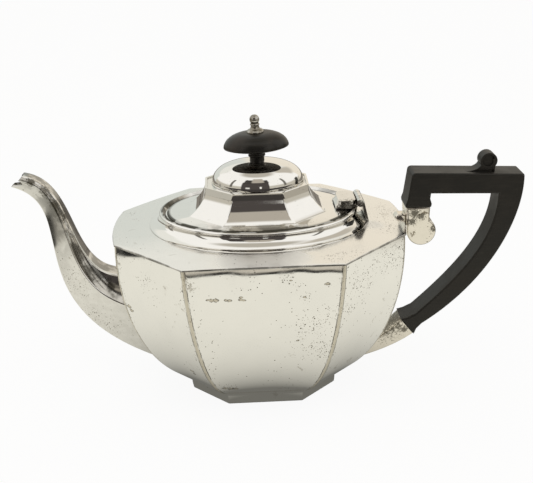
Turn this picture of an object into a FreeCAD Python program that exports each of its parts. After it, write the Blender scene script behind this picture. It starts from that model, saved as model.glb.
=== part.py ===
"""Silver teapot with an octagonal panelled body, a six-sided spout, a black handle and a hinged lid.

The frame: X runs from the spout to the handle, Y away from the viewer, Z up.
The origin is on the table, on the pot's upright axis. All sizes are in millimetres.
"""

import FreeCAD, Part
import math
import os

Vec = FreeCAD.Vector

# Sheet and fits
WALL = 1.2
SOLDER_WALL = 1.6
RUNNING_FIT = 0.05
LID_PLAY = 0.4
REST_GAP = 0.1
SOCKET_FIT = 0.05
REACH = 400.0
SECTIONS = 9

# Body: an octagon drawn in below its fullest level along a quarter ellipse
FULL_HALF_LENGTH = 80.0
FULL_HALF_WIDTH = 64.6
TOP_FRONT_HALF = 41.8
TOP_END_HALF = 26.6
FRONT_LEAN = 6.0
END_LEAN = 3.5
END_BOW = 2.8
SHOULDER_Z = 99.5
SHOULDER_RISE = 11.5
BELLY_SINK = 1.5
SHOULDER_OVERHANG = 0.3

# Foot
FOOT_HALF_LENGTH = 42.2
FOOT_HALF_WIDTH = 34.3
FOOT_FRONT_HALF = 21.4
FOOT_END_HALF = 14.2
FOOT_BAND = 5.2
FOOT_Z = 7.5
FOOT_COVE = 0.9
FLOOR_LEDGE = 5.0

# Levels and ends that the other pieces are set from
FULL_Z = SHOULDER_Z - SHOULDER_RISE
BELLY_DROP = FULL_Z - FOOT_Z + BELLY_SINK
BODY_END_X = FULL_HALF_LENGTH + END_BOW

# Collar and lid seat, all ovals
SEAT_HALF_LENGTH = 52.9
SEAT_HALF_WIDTH = 38.2
RIM_WIDTH = 3.6
RIM_RISE = 9.3
COLLAR_SPREAD_END = 5.6
COLLAR_SPREAD_SIDE = 8.4
RIM_BEAD = 2.4
NECK_INSET = 0.7
COLLAR_STEP = 0.7
BEARER_WIDTH = 4.4
RIM_Z = SHOULDER_Z + RIM_RISE
RIM_END_X = SEAT_HALF_LENGTH + RIM_WIDTH
RIM_SIDE_Y = SEAT_HALF_WIDTH + RIM_WIDTH
COLLAR_HALF_LENGTH = RIM_END_X + COLLAR_SPREAD_END
COLLAR_HALF_WIDTH = RIM_SIDE_Y + COLLAR_SPREAD_SIDE

# Lid
FLANGE_SINK = 0.5
RISER_HALF_LENGTH = 39.4
RISER_HALF_WIDTH = 30.7
LIP_HALF_LENGTH = 27.8
LIP_HALF_WIDTH = 22.65
LIP_RISE = 15.9
LIP_WIDTH = 1.2
LIP_HEIGHT = 0.7
RISER_SWEEP = 2.3
OCTAGON_EDGE = math.tan(math.radians(22.5))
DOME_HALF_LENGTH = 25.4
DOME_HALF_WIDTH = 20.3
DOME_RISE = 12.9
DOME_FULLNESS = 0.68
BEZEL_PLAY = 0.7
BEZEL_DEPTH = 3.5
FLANGE_TOP_Z = RIM_Z - FLANGE_SINK
LIP_Z = FLANGE_TOP_Z + LIP_RISE
DOME_FOOT_Z = LIP_Z - LIP_HEIGHT
DOME_TOP_Z = DOME_FOOT_Z + DOME_RISE

# Knob and finial
KNOB_HALF_LENGTH = 18.2
KNOB_HALF_WIDTH = 13.8
KNOB_RIM_RISE = 9.2
KNOB_RISE = 16.2
KNOB_SEAT_RADIUS = 5.2
STEM_RADIUS = 4.1
STEM_RING = 0.7
STEM_RING_RISE = 2.2
CAP_UNDER_RISE = 6.8
FINIAL_RADIUS = 4.8
FINIAL_BASE = 1.5
FINIAL_WAIST = 2.4
BALL_RADIUS = 2.7
FINIAL_RISE = 9.7
UNDERCUT_AT = 0.8
CROWN_FULLNESS = 0.72
NECK_TAPER = 0.9
SHANK_RADIUS = 1.5
SHANK_BELOW_NUT = 1.0
WASHER_RADIUS = 5.0
WASHER_THICK = 0.8
NUT_FLATS = 6.0
NUT_HEIGHT = 2.6
KNOB_RIM_Z = DOME_TOP_Z + KNOB_RIM_RISE
KNOB_TOP_Z = DOME_TOP_Z + KNOB_RISE
STEM_RING_Z = DOME_TOP_Z + STEM_RING_RISE
CAP_UNDER_Z = DOME_TOP_Z + CAP_UNDER_RISE
FINIAL_TOP_Z = KNOB_TOP_Z + FINIAL_RISE

# Hinge
HINGE_SETBACK = 0.9
HINGE_RISE = 2.6
KNUCKLE_RADIUS = 2.2
HINGE_PIN_RADIUS = 0.9
HINGE_HALF_LENGTH = 9.0
KNUCKLES = 5
KNUCKLE_GAP = 0.15
LEAF_CLEARANCE = 0.45
LEAF_RUN = 5.0
LEAF_THICK = 1.5
LEAF_PAD = 0.9
LEAF_TAB_LENGTH = 12.5
LEAF_PAD_MARGIN = 1.6
HINGE_X = RIM_END_X + HINGE_SETBACK
HINGE_Z = RIM_Z + HINGE_RISE
LEAF_FOOT_X = HINGE_X + LEAF_RUN

# Spout: the corners of the two smooth lines that bound it in the middle plane
SPOUT_TOP = [
    Vec(-BODY_END_X + 6.8, 0, SHOULDER_Z - 27.3),
    Vec(-BODY_END_X - 30.2, 0, SHOULDER_Z - 30.5),
    Vec(-BODY_END_X - 16.2, 0, SHOULDER_Z + 27.5),
    Vec(-BODY_END_X - 47.2, 0, SHOULDER_Z + 33.4),
]
SPOUT_KEEL = [
    Vec(-BODY_END_X + 25.8, 0, FOOT_Z + 6.5),
    Vec(-BODY_END_X - 67.2, 0, SHOULDER_Z - 47.5),
    Vec(-BODY_END_X - 13.2, 0, SHOULDER_Z + 13.5),
    Vec(-BODY_END_X - 54.5, 0, SHOULDER_Z + 26.8),
]
SPOUT_ROOT_TOP_HALF = 6.6
SPOUT_ROOT_RIDGE_HALF = 17.0
SPOUT_ROOT_KEEL_HALF = 5.0
SPOUT_TIP_TOP_HALF = 3.6
SPOUT_TIP_RIDGE_HALF = 6.6
SPOUT_TIP_KEEL_HALF = 2.2
SPOUT_TAPER = 1.6
ROOT_RIDGE_AT = 0.30
TIP_RIDGE_AT = 0.16
STRAINER_RADIUS = 1.7
STRAINER_PITCH = 7.0
STRAINER_ROWS = 5
STRAINER_COLUMNS = 3
STRAINER_RISE = 40.5
STRAINER_Z = FOOT_Z + STRAINER_RISE

# Handle: a squared loop of one thickness
HANDLE_HALF = 8.0
HANDLE_EDGE = 0.8
LEG_TOP = Vec(BODY_END_X + 3.6, 0, SHOULDER_Z + 28.1)
LEG_FOOT = Vec(BODY_END_X + 1.4, 0, SHOULDER_Z + 12)
LEG_FOOT_FLARE = Vec(BODY_END_X + 0.4, 0, SHOULDER_Z + 9.1)
LEG_SEAT_LEFT = Vec(BODY_END_X + 0.6, 0, SHOULDER_Z + 7.5)
LEG_SEAT_RIGHT = Vec(BODY_END_X + 15.1, 0, SHOULDER_Z + 7.5)
LEG_INNER_FLARE = Vec(BODY_END_X + 15.4, 0, SHOULDER_Z + 9.3)
LEG_INNER = Vec(BODY_END_X + 14.4, 0, SHOULDER_Z + 12.3)
GRIP_CORNER = Vec(BODY_END_X + 14.7, 0, SHOULDER_Z + 15.5)
GRIP_FAR = Vec(BODY_END_X + 53.2, 0, SHOULDER_Z + 14.1)
BAR_END = Vec(BODY_END_X + 67.3, 0, SHOULDER_Z + 25.3)
ARM_OUTER = [
    BAR_END,
    Vec(BODY_END_X + 69.2, 0, SHOULDER_Z + 0.5),
    Vec(BODY_END_X + 53.2, 0, SHOULDER_Z - 39.5),
    Vec(BODY_END_X + 12.8, 0, FOOT_Z + 25.5),
]
ARM_INNER = [
    GRIP_FAR,
    Vec(BODY_END_X + 53.7, 0, SHOULDER_Z - 11.5),
    Vec(BODY_END_X + 37.2, 0, SHOULDER_Z - 33.5),
    Vec(BODY_END_X + 8.7, 0, FOOT_Z + 32.1),
]
ARM_COLLAR_OUTER = Vec(BODY_END_X + 9.6, 0, FOOT_Z + 22.1)
ARM_COLLAR_INNER = Vec(BODY_END_X + 3.8, 0, FOOT_Z + 29.7)
ARM_SEAT_OUTER = Vec(BODY_END_X + 8.2, 0, FOOT_Z + 18.5)
ARM_SEAT_INNER = Vec(BODY_END_X, 0, FOOT_Z + 28.7)
SCROLL_CENTRE = Vec(BODY_END_X + 47.5, 0, SHOULDER_Z + 32.3)
SCROLL_RADIUS = 4.8
SCROLL_HALF = 4.0
SCROLL_RAMP = 14.0
SCROLL_GROOVE_RADIUS = 2.8
SCROLL_GROOVE_WIDTH = 0.7
SCROLL_GROOVE_DEPTH = 0.5
SCROLL_BACK_AT = 0.7

# Sockets
SOCKET_HALF = 7.6
SOCKET_RIM = 1.5
SOCKET_GAP = 0.9
SOCKET_LENGTH = 13.8
SOCKET_LEFT = BODY_END_X + SOCKET_GAP
SOCKET_RIGHT = SOCKET_LEFT + SOCKET_LENGTH
HEEL_CENTRE = Vec(BODY_END_X + 10.2, 0, SHOULDER_Z - 7.5)
HEEL_RADIUS = 8.3
BRACKET_HALF = 5.0
BRACKET_DROP = 5.0
BRACKET_RISE = 3.5
BRACKET_LOW_Z = SHOULDER_Z - BRACKET_DROP
BRACKET_HIGH_Z = SHOULDER_Z + BRACKET_RISE
LOWER_TOP = [
    Vec(BODY_END_X + 0.4, 0, FOOT_Z + 28.1),
    Vec(BODY_END_X - 6.8, 0, FOOT_Z + 21.5),
    Vec(BODY_END_X - 16.8, 0, FOOT_Z + 11),
    Vec(BODY_END_X - 30.8, 0, FOOT_Z + 9),
]
LOWER_KEEL = [
    Vec(BODY_END_X + 7.6, 0, FOOT_Z + 19),
    Vec(BODY_END_X - 2.8, 0, FOOT_Z + 11.1),
    Vec(BODY_END_X - 18.8, 0, FOOT_Z + 4.5),
    Vec(BODY_END_X - 34.8, 0, FOOT_Z + 2),
]
LOWER_ROOT_HALF = 6.4
TENON_DEPTH = 8.0
PIN_RADIUS = 1.1
PIN_HEAD_RADIUS = 1.8
PIN_HEAD = 0.4


# Shapes that several pieces use

def bezier_point(corners, t):
    """A point on the cubic curve with these four corners."""
    s = 1.0 - t
    start = corners[0] * s ** 3 + corners[1] * (3 * s * s * t)
    return start + corners[2] * (3 * s * t * t) + corners[3] * t ** 3


def bezier_edge(corners):
    curve = Part.BezierCurve()
    curve.setPoles(corners)
    return curve.toShape()


def line(start, end):
    return Part.LineSegment(start, end).toShape()


def closed_face(points):
    return Part.Face(Part.makePolygon(points + [points[0]]))


def across(shape, half):
    """Extrude a face that lies in the middle plane to both sides of it."""
    moved = shape.copy()
    moved.translate(Vec(0, -half, 0))
    return moved.extrude(Vec(0, 2 * half, 0))


def oval_wire(half_length, half_width, z):
    ellipse = Part.Ellipse(Vec(0, 0, z), half_length, half_width)
    return Part.Wire(ellipse.toShape())


def oval_prism(half_length, half_width, low, high):
    return Part.Face(oval_wire(half_length, half_width, low)).extrude(Vec(0, 0, high - low))


def octagon_wire(half_length, half_width, front_half, end_half, z, bow=0.0):
    """An octagon with straight front, back and corner sides; the two ends may be bowed."""
    left_front = Vec(-front_half, -half_width, z)
    right_front = Vec(front_half, -half_width, z)
    right_near = Vec(half_length, -end_half, z)
    right_far = Vec(half_length, end_half, z)
    right_back = Vec(front_half, half_width, z)
    left_back = Vec(-front_half, half_width, z)
    left_far = Vec(-half_length, end_half, z)
    left_near = Vec(-half_length, -end_half, z)
    if bow > 0:
        right_end = Part.Arc(right_near, Vec(half_length + bow, 0, z), right_far).toShape()
        left_end = Part.Arc(left_far, Vec(-half_length - bow, 0, z), left_near).toShape()
    else:
        right_end = line(right_near, right_far)
        left_end = line(left_far, left_near)
    edges = [
        line(left_front, right_front),
        line(right_front, right_near),
        right_end,
        line(right_far, right_back),
        line(right_back, left_back),
        line(left_back, left_far),
        left_end,
        line(left_near, left_front),
    ]
    return Part.Wire(edges)


def stretched_octagon(half_length, half_width, z):
    """A regular octagon drawn out along X, as the lid has."""
    end_half = half_width * OCTAGON_EDGE
    front_half = half_length - (half_width - end_half)
    return octagon_wire(half_length, half_width, front_half, end_half, z)


def octagon_prism(half_length, half_width, low, high):
    return Part.Face(stretched_octagon(half_length, half_width, low)).extrude(Vec(0, 0, high - low))


def rod(centre, radius, low_y, high_y):
    """A round bar along Y through a point of the middle plane."""
    return Part.makeCylinder(radius, high_y - low_y, Vec(centre.x, low_y, centre.z), Vec(0, 1, 0))


# The body

def draw_in(inset, z):
    """How far the quarter-ellipse profile has drawn in at a level, from 0 to 1."""
    rise = (FULL_Z - z) / (BELLY_DROP - inset)
    return 1.0 - math.sqrt(1.0 - rise * rise)


def body_wire(z, inset=0.0):
    """The body's outline at a level; an inset moves the whole profile inwards."""
    at_foot = draw_in(0.0, FOOT_Z)
    lean = (SHOULDER_Z - z) / (SHOULDER_Z - FOOT_Z)
    drawn = draw_in(inset, z)
    side_inset = inset * OCTAGON_EDGE
    length_draw = (FULL_HALF_LENGTH - FOOT_HALF_LENGTH - FOOT_COVE) / at_foot
    width_draw = (FULL_HALF_WIDTH - FOOT_HALF_WIDTH - FOOT_COVE) / at_foot
    front_draw = (TOP_FRONT_HALF - FOOT_FRONT_HALF - FRONT_LEAN) / at_foot
    end_draw = (TOP_END_HALF - FOOT_END_HALF - END_LEAN) / at_foot
    half_length = FULL_HALF_LENGTH - inset - (length_draw - inset) * drawn
    half_width = FULL_HALF_WIDTH - inset - (width_draw - inset) * drawn
    front_half = TOP_FRONT_HALF - side_inset - FRONT_LEAN * lean - front_draw * drawn
    end_half = TOP_END_HALF - side_inset - END_LEAN * lean - end_draw * drawn
    bow = END_BOW * end_half / TOP_END_HALF
    return octagon_wire(half_length, half_width, front_half, end_half, z, bow)


def body_solid(low, high, inset=0.0):
    """The body between two levels, with its sections closest together where it turns under."""
    first = math.asin((FULL_Z - low) / (BELLY_DROP - inset))
    last = math.asin((FULL_Z - high) / (BELLY_DROP - inset))
    wires = []
    for step in range(SECTIONS):
        angle = first + (last - first) * step / (SECTIONS - 1)
        z = FULL_Z - (BELLY_DROP - inset) * math.sin(angle)
        wires.append(body_wire(z, inset))
    return Part.makeLoft(wires, True, False)


def strainer_holes():
    """The pierced holes that hold back the leaves, in the end panel behind the spout."""
    holes = []
    for row in range(STRAINER_ROWS):
        for column in range(STRAINER_COLUMNS):
            y = (column - (STRAINER_COLUMNS - 1) / 2) * STRAINER_PITCH
            z = STRAINER_Z + (row - (STRAINER_ROWS - 1) / 2) * STRAINER_PITCH
            start = Vec(-FULL_HALF_LENGTH - END_BOW, y, z)
            holes.append(Part.makeCylinder(STRAINER_RADIUS, FULL_HALF_LENGTH / 2, start, Vec(1, 0, 0)))
    return Part.makeCompound(holes)


SHELL_TOP_Z = SHOULDER_Z - WALL
FLOOR_Z = FOOT_Z + SOLDER_WALL
BODY_OUTER = body_solid(FOOT_Z, SHELL_TOP_Z)
BODY_INNER = body_solid(FLOOR_Z, SHELL_TOP_Z, WALL)


def body_shell():
    floor_hole = octagon_prism(
        FOOT_HALF_LENGTH - FLOOR_LEDGE, FOOT_HALF_WIDTH - FLOOR_LEDGE, 0, FULL_Z)
    return BODY_OUTER.cut(BODY_INNER).cut(floor_hole).cut(strainer_holes())


def base_plate():
    plate_half_length = FOOT_HALF_LENGTH - FLOOR_LEDGE / 2
    plate_half_width = FOOT_HALF_WIDTH - FLOOR_LEDGE / 2
    return octagon_prism(plate_half_length, plate_half_width, FLOOR_Z, FLOOR_Z + WALL)


def foot_wire(z, spread):
    bow = END_BOW * FOOT_END_HALF / TOP_END_HALF
    side = spread * OCTAGON_EDGE
    return octagon_wire(
        FOOT_HALF_LENGTH + spread, FOOT_HALF_WIDTH + spread,
        FOOT_FRONT_HALF + side, FOOT_END_HALF + side, z, bow)


def foot_ring():
    band = Part.Face(foot_wire(0, 0)).extrude(Vec(0, 0, FOOT_BAND))
    cove = Part.makeLoft([foot_wire(FOOT_BAND, 0), foot_wire(FOOT_Z, FOOT_COVE)], True, True)
    hollow = Part.Face(foot_wire(0, -SOLDER_WALL)).extrude(Vec(0, 0, FOOT_Z))
    return band.fuse(cove).cut(hollow).removeSplitter()


# The top of the pot

def collar_outer():
    """The cove from the shoulder up to the neck, then the bead of the rim."""
    neck_length = RIM_END_X - NECK_INSET
    neck_width = RIM_SIDE_Y - NECK_INSET
    low = SHOULDER_Z + COLLAR_STEP
    high = RIM_Z - RIM_BEAD
    wires = []
    for step in range(SECTIONS):
        angle = math.pi / 2 * step / (SECTIONS - 1)
        inward = math.sin(angle)
        half_length = COLLAR_HALF_LENGTH + (neck_length - COLLAR_HALF_LENGTH) * inward
        half_width = COLLAR_HALF_WIDTH + (neck_width - COLLAR_HALF_WIDTH) * inward
        wires.append(oval_wire(half_length, half_width, low + (high - low) * (1 - math.cos(angle))))
    cove = Part.makeLoft(wires, True, False)
    step_ring = oval_prism(COLLAR_HALF_LENGTH, COLLAR_HALF_WIDTH, SHOULDER_Z, low)
    beads = []
    for step in range(SECTIONS):
        angle = math.pi * step / (SECTIONS - 1)
        out = NECK_INSET * math.sin(angle) - NECK_INSET
        turn_in = (1 - math.cos(angle)) / 2
        z = high + RIM_BEAD * turn_in
        spread = RIM_END_X + out - RIM_WIDTH / 3 * turn_in ** 4
        spread_wide = RIM_SIDE_Y + out - RIM_WIDTH / 3 * turn_in ** 4
        beads.append(oval_wire(spread, spread_wide, z))
    bead = Part.makeLoft(beads, True, False)
    return step_ring.fuse(cove).fuse(bead)


COLLAR_OUTER = collar_outer()
FLANGE_Z = FLANGE_TOP_Z - WALL
BEARER_TOP_Z = FLANGE_Z - REST_GAP


def shoulder_plate():
    half_length = FULL_HALF_LENGTH + SHOULDER_OVERHANG
    half_width = FULL_HALF_WIDTH + SHOULDER_OVERHANG
    outline = octagon_wire(half_length, half_width, TOP_FRONT_HALF, TOP_END_HALF, SHELL_TOP_Z, END_BOW)
    plate = Part.Face(outline).extrude(Vec(0, 0, WALL))
    return plate.cut(oval_prism(SEAT_HALF_LENGTH, SEAT_HALF_WIDTH, 0, REACH))


def collar_moulding():
    return COLLAR_OUTER.cut(oval_prism(SEAT_HALF_LENGTH, SEAT_HALF_WIDTH, 0, REACH))


def lid_bearer():
    outer = oval_prism(SEAT_HALF_LENGTH, SEAT_HALF_WIDTH, BEARER_TOP_Z - SOLDER_WALL, BEARER_TOP_Z)
    hole = oval_prism(SEAT_HALF_LENGTH - BEARER_WIDTH, SEAT_HALF_WIDTH - BEARER_WIDTH, 0, REACH)
    return outer.cut(hole)


# The spout

def spout_wire(t, inset):
    """A six-sided section; t runs from 0 inside the body to 1 at the mouth."""
    taper = (1.0 - t) ** SPOUT_TAPER
    top = bezier_point(SPOUT_TOP, t)
    keel = bezier_point(SPOUT_KEEL, t)
    down = (keel - top).normalize()
    top = top + down * inset
    keel = keel - down * inset
    ridge = top + (keel - top) * (TIP_RIDGE_AT + (ROOT_RIDGE_AT - TIP_RIDGE_AT) * taper)
    top_half = SPOUT_TIP_TOP_HALF + (SPOUT_ROOT_TOP_HALF - SPOUT_TIP_TOP_HALF) * taper
    ridge_half = SPOUT_TIP_RIDGE_HALF + (SPOUT_ROOT_RIDGE_HALF - SPOUT_TIP_RIDGE_HALF) * taper
    keel_half = SPOUT_TIP_KEEL_HALF + (SPOUT_ROOT_KEEL_HALF - SPOUT_TIP_KEEL_HALF) * taper
    near_side = Vec(0, -1, 0)
    half_inset = inset / 2
    points = [
        top + near_side * (top_half - half_inset),
        ridge + near_side * (ridge_half - inset),
        keel + near_side * (keel_half - half_inset),
        keel - near_side * (keel_half - half_inset),
        ridge - near_side * (ridge_half - inset),
        top - near_side * (top_half - half_inset),
    ]
    return Part.makePolygon(points + [points[0]])


def spout_solid(inset):
    wires = [spout_wire(step / (SECTIONS - 1), inset) for step in range(SECTIONS)]
    return Part.makeLoft(wires, True, False)


def spout():
    return spout_solid(0.0).cut(spout_solid(WALL)).cut(BODY_OUTER)


# The handle and its sockets

def tenon(seat_start, seat_end, into, grow):
    """The tongue that goes into a socket, in from the seat's middle; grow makes the pocket for it."""
    along = (seat_end - seat_start).normalize()
    half = (seat_end - seat_start).Length / 2 - SOCKET_RIM - SOLDER_WALL + grow
    middle = (seat_start + seat_end) * 0.5
    depth = TENON_DEPTH + grow
    points = [
        middle - along * half,
        middle + along * half,
        middle + along * half + into * depth,
        middle - along * half + into * depth,
    ]
    return across(closed_face(points), SOCKET_HALF - SOLDER_WALL - SOCKET_RIM + grow)


ARM_SEAT_ALONG = (ARM_SEAT_INNER - ARM_SEAT_OUTER).normalize()
ARM_SEAT_INTO = Vec(-abs(ARM_SEAT_ALONG.z), 0, -abs(ARM_SEAT_ALONG.x))
UPPER_PIN_AT = (LEG_SEAT_LEFT + LEG_SEAT_RIGHT) * 0.5 - Vec(0, 0, TENON_DEPTH / 2)
LOWER_PIN_AT = (ARM_SEAT_INNER + ARM_SEAT_OUTER) * 0.5 + ARM_SEAT_INTO * (TENON_DEPTH / 2)


def upper_tenon(grow):
    return tenon(LEG_SEAT_LEFT, LEG_SEAT_RIGHT, Vec(0, 0, -1), grow)


def lower_tenon(grow):
    return tenon(ARM_SEAT_INNER, ARM_SEAT_OUTER, ARM_SEAT_INTO, grow)


def scroll():
    """The rolled thumb-piece: a cylinder across the bar with a ramp up to it and a grooved end."""
    bar_z = BAR_END.z - SCROLL_RADIUS / 3
    left = SCROLL_CENTRE - Vec(SCROLL_RADIUS, 0, 0)
    ramp_start = Vec(SCROLL_CENTRE.x - SCROLL_RAMP, 0, BAR_END.z + SCROLL_RADIUS / 3)
    ramp_bend = Vec(left.x, 0, ramp_start.z)
    base_right = Vec(SCROLL_CENTRE.x + SCROLL_RADIUS * SCROLL_BACK_AT, 0, bar_z)
    base_left = Vec(ramp_start.x, 0, bar_z)
    ramp = Part.Face(Part.Wire([
        bezier_edge([ramp_start, ramp_bend, left]),
        line(left, SCROLL_CENTRE),
        line(SCROLL_CENTRE, SCROLL_CENTRE + Vec(SCROLL_RADIUS * SCROLL_BACK_AT, 0, 0)),
        line(SCROLL_CENTRE + Vec(SCROLL_RADIUS * SCROLL_BACK_AT, 0, 0), base_right),
        line(base_right, base_left),
        line(base_left, ramp_start),
    ]))
    roll = rod(SCROLL_CENTRE, SCROLL_RADIUS, -SCROLL_HALF, SCROLL_HALF)
    piece = roll.fuse(across(ramp, SCROLL_HALF))
    groove_outer = SCROLL_GROOVE_RADIUS + SCROLL_GROOVE_WIDTH
    bottom = SCROLL_HALF - SCROLL_GROOVE_DEPTH
    for low, high in ((-SCROLL_HALF, -bottom), (bottom, SCROLL_HALF)):
        disc = rod(SCROLL_CENTRE, groove_outer, low, high)
        piece = piece.cut(disc.cut(rod(SCROLL_CENTRE, SCROLL_GROOVE_RADIUS, low, high)))
    return piece


def handle_loop():
    """The outline of the handle, once round from the leg's seat, extruded across its thickness."""
    edges = [
        line(LEG_SEAT_LEFT, LEG_FOOT_FLARE),
        line(LEG_FOOT_FLARE, LEG_FOOT),
        line(LEG_FOOT, LEG_TOP),
        line(LEG_TOP, BAR_END),
        bezier_edge(ARM_OUTER),
        line(ARM_OUTER[3], ARM_COLLAR_OUTER),
        line(ARM_COLLAR_OUTER, ARM_SEAT_OUTER),
        line(ARM_SEAT_OUTER, ARM_SEAT_INNER),
        line(ARM_SEAT_INNER, ARM_COLLAR_INNER),
        line(ARM_COLLAR_INNER, ARM_INNER[3]),
        bezier_edge(ARM_INNER),
        line(GRIP_FAR, GRIP_CORNER),
        line(GRIP_CORNER, LEG_INNER),
        line(LEG_INNER, LEG_INNER_FLARE),
        line(LEG_INNER_FLARE, LEG_SEAT_RIGHT),
        line(LEG_SEAT_RIGHT, LEG_SEAT_LEFT),
    ]
    outline = Part.Wire(Part.__sortEdges__(edges))
    return across(Part.Face(outline), HANDLE_HALF)


def bevelled(loop):
    """Bevel the long edges of the handle's two faces; the seats in the sockets stay square."""
    seats = [LEG_SEAT_LEFT, LEG_SEAT_RIGHT, ARM_SEAT_INNER, ARM_SEAT_OUTER]
    chosen = []
    for edge in loop.Edges:
        ends = [vertex.Point for vertex in edge.Vertexes]
        near_face = all(abs(end.y + HANDLE_HALF) < SOCKET_FIT for end in ends)
        far_face = all(abs(end.y - HANDLE_HALF) < SOCKET_FIT for end in ends)
        flat_ends = [Vec(end.x, 0, end.z) for end in ends]
        seated = all(any((end - seat).Length < SOCKET_FIT for seat in seats) for end in flat_ends)
        if (near_face or far_face) and not seated:
            chosen.append(edge)
    return loop.makeChamfer(HANDLE_EDGE, chosen)


def pin_hole(at):
    return rod(at, PIN_RADIUS, -REACH, REACH)


def handle():
    loop = bevelled(handle_loop()).fuse(scroll())
    whole = loop.fuse(upper_tenon(0.0)).fuse(lower_tenon(0.0))
    return whole.cut(pin_hole(UPPER_PIN_AT)).cut(pin_hole(LOWER_PIN_AT))


def upper_socket():
    cup = across(closed_face([
        Vec(SOCKET_LEFT, 0, LEG_SEAT_LEFT.z),
        Vec(SOCKET_RIGHT, 0, LEG_SEAT_LEFT.z),
        Vec(SOCKET_RIGHT - SOCKET_RIM / 3, 0, HEEL_CENTRE.z),
        Vec(HEEL_CENTRE.x - HEEL_RADIUS, 0, HEEL_CENTRE.z),
    ]), SOCKET_HALF)
    heel = rod(HEEL_CENTRE, HEEL_RADIUS, -SOCKET_HALF, SOCKET_HALF)
    return cup.fuse(heel).cut(upper_tenon(SOCKET_FIT)).cut(pin_hole(UPPER_PIN_AT))


def socket_bracket():
    reach_in = FULL_HALF_LENGTH - END_BOW
    block = Part.makeBox(
        SOCKET_LEFT + SOCKET_RIM - reach_in, 2 * BRACKET_HALF, BRACKET_HIGH_Z - BRACKET_LOW_Z,
        Vec(reach_in, -BRACKET_HALF, BRACKET_LOW_Z))
    return block.cut(BODY_OUTER).cut(shoulder_plate()).cut(upper_socket())


def lower_socket():
    wires = []
    for step in range(SECTIONS):
        t = step / (SECTIONS - 1)
        half = SOCKET_HALF + (LOWER_ROOT_HALF - SOCKET_HALF) * t
        top = bezier_point(LOWER_TOP, t)
        keel = bezier_point(LOWER_KEEL, t)
        side = Vec(0, half, 0)
        wires.append(Part.makePolygon([top - side, keel - side, keel + side, top + side, top - side]))
    horn = Part.makeLoft(wires, True, False)
    return horn.cut(BODY_OUTER).cut(handle_loop()).cut(lower_tenon(SOCKET_FIT)).cut(pin_hole(LOWER_PIN_AT))


def cross_pin(at):
    """A pin right through a socket, with a round head at each end."""
    shank = rod(at, PIN_RADIUS, -SOCKET_HALF, SOCKET_HALF)
    near_head = rod(at, PIN_HEAD_RADIUS, -SOCKET_HALF - PIN_HEAD, -SOCKET_HALF)
    far_head = rod(at, PIN_HEAD_RADIUS, SOCKET_HALF, SOCKET_HALF + PIN_HEAD)
    return shank.fuse(near_head).fuse(far_head)


# The hinge

HINGE_AT = Vec(HINGE_X, 0, HINGE_Z)
KNUCKLE_PITCH = 2 * HINGE_HALF_LENGTH / KNUCKLES


def knuckles(first, radius, shrink):
    """Every second knuckle of the barrel from a first one; shrink shortens each at both ends."""
    barrel = []
    for index in range(first, KNUCKLES, 2):
        low = -HINGE_HALF_LENGTH + index * KNUCKLE_PITCH + shrink
        barrel.append(rod(HINGE_AT, radius, low, low + KNUCKLE_PITCH - 2 * shrink))
    return barrel


def hinge_pot_leaf():
    """A plate that leans from the barrel down to the foot of the collar, with every other knuckle."""
    plate = across(closed_face([
        Vec(HINGE_X + KNUCKLE_RADIUS - LEAF_THICK, 0, HINGE_Z),
        Vec(HINGE_X + KNUCKLE_RADIUS, 0, HINGE_Z),
        Vec(LEAF_FOOT_X, 0, SHOULDER_Z),
        Vec(LEAF_FOOT_X - LEAF_THICK, 0, SHOULDER_Z),
    ]), HINGE_HALF_LENGTH)
    leaf = plate.cut(COLLAR_OUTER)
    for room in knuckles(1, KNUCKLE_RADIUS + LEAF_CLEARANCE, 0.0):
        leaf = leaf.cut(room)
    for knuckle in knuckles(0, KNUCKLE_RADIUS, KNUCKLE_GAP / 2):
        leaf = leaf.fuse(knuckle)
    return leaf.cut(rod(HINGE_AT, HINGE_PIN_RADIUS, -REACH, REACH))


def hinge_lid_leaf():
    """Two stacked plates on the flange; the upper one passes over the rim to the barrel."""
    pad_top = FLANGE_TOP_Z + LEAF_PAD
    tab_start = HINGE_X - LEAF_TAB_LENGTH
    half = HINGE_HALF_LENGTH - KNUCKLE_GAP
    corner = HINGE_HALF_LENGTH / 3
    tab = Part.Face(Part.makePolygon([
        Vec(tab_start + corner, -half, pad_top),
        Vec(HINGE_X, -half, pad_top),
        Vec(HINGE_X, half, pad_top),
        Vec(tab_start + corner, half, pad_top),
        Vec(tab_start, half - corner, pad_top),
        Vec(tab_start, -half + corner, pad_top),
        Vec(tab_start + corner, -half, pad_top),
    ])).extrude(Vec(0, 0, LEAF_THICK))
    pad_start = tab_start - LEAF_PAD_MARGIN
    pad_length = SEAT_HALF_LENGTH - LID_PLAY - pad_start
    pad = Part.makeBox(pad_length, 2 * half, LEAF_PAD, Vec(pad_start, -half, FLANGE_TOP_Z))
    flange_edge = oval_prism(SEAT_HALF_LENGTH - LID_PLAY, SEAT_HALF_WIDTH - LID_PLAY, 0, REACH)
    leaf = tab.fuse(pad.common(flange_edge))
    for room in knuckles(0, KNUCKLE_RADIUS + LEAF_CLEARANCE, -KNUCKLE_GAP / 2):
        leaf = leaf.cut(room)
    for knuckle in knuckles(1, KNUCKLE_RADIUS, KNUCKLE_GAP / 2):
        leaf = leaf.fuse(knuckle)
    return leaf.cut(rod(HINGE_AT, HINGE_PIN_RADIUS + RUNNING_FIT, -REACH, REACH))


def hinge_pin():
    return rod(HINGE_AT, HINGE_PIN_RADIUS, -HINGE_HALF_LENGTH, HINGE_HALF_LENGTH)


# The lid

LID_HALF_LENGTH = SEAT_HALF_LENGTH - LID_PLAY
LID_HALF_WIDTH = SEAT_HALF_WIDTH - LID_PLAY
PLATE_Z = DOME_FOOT_Z - WALL


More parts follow.
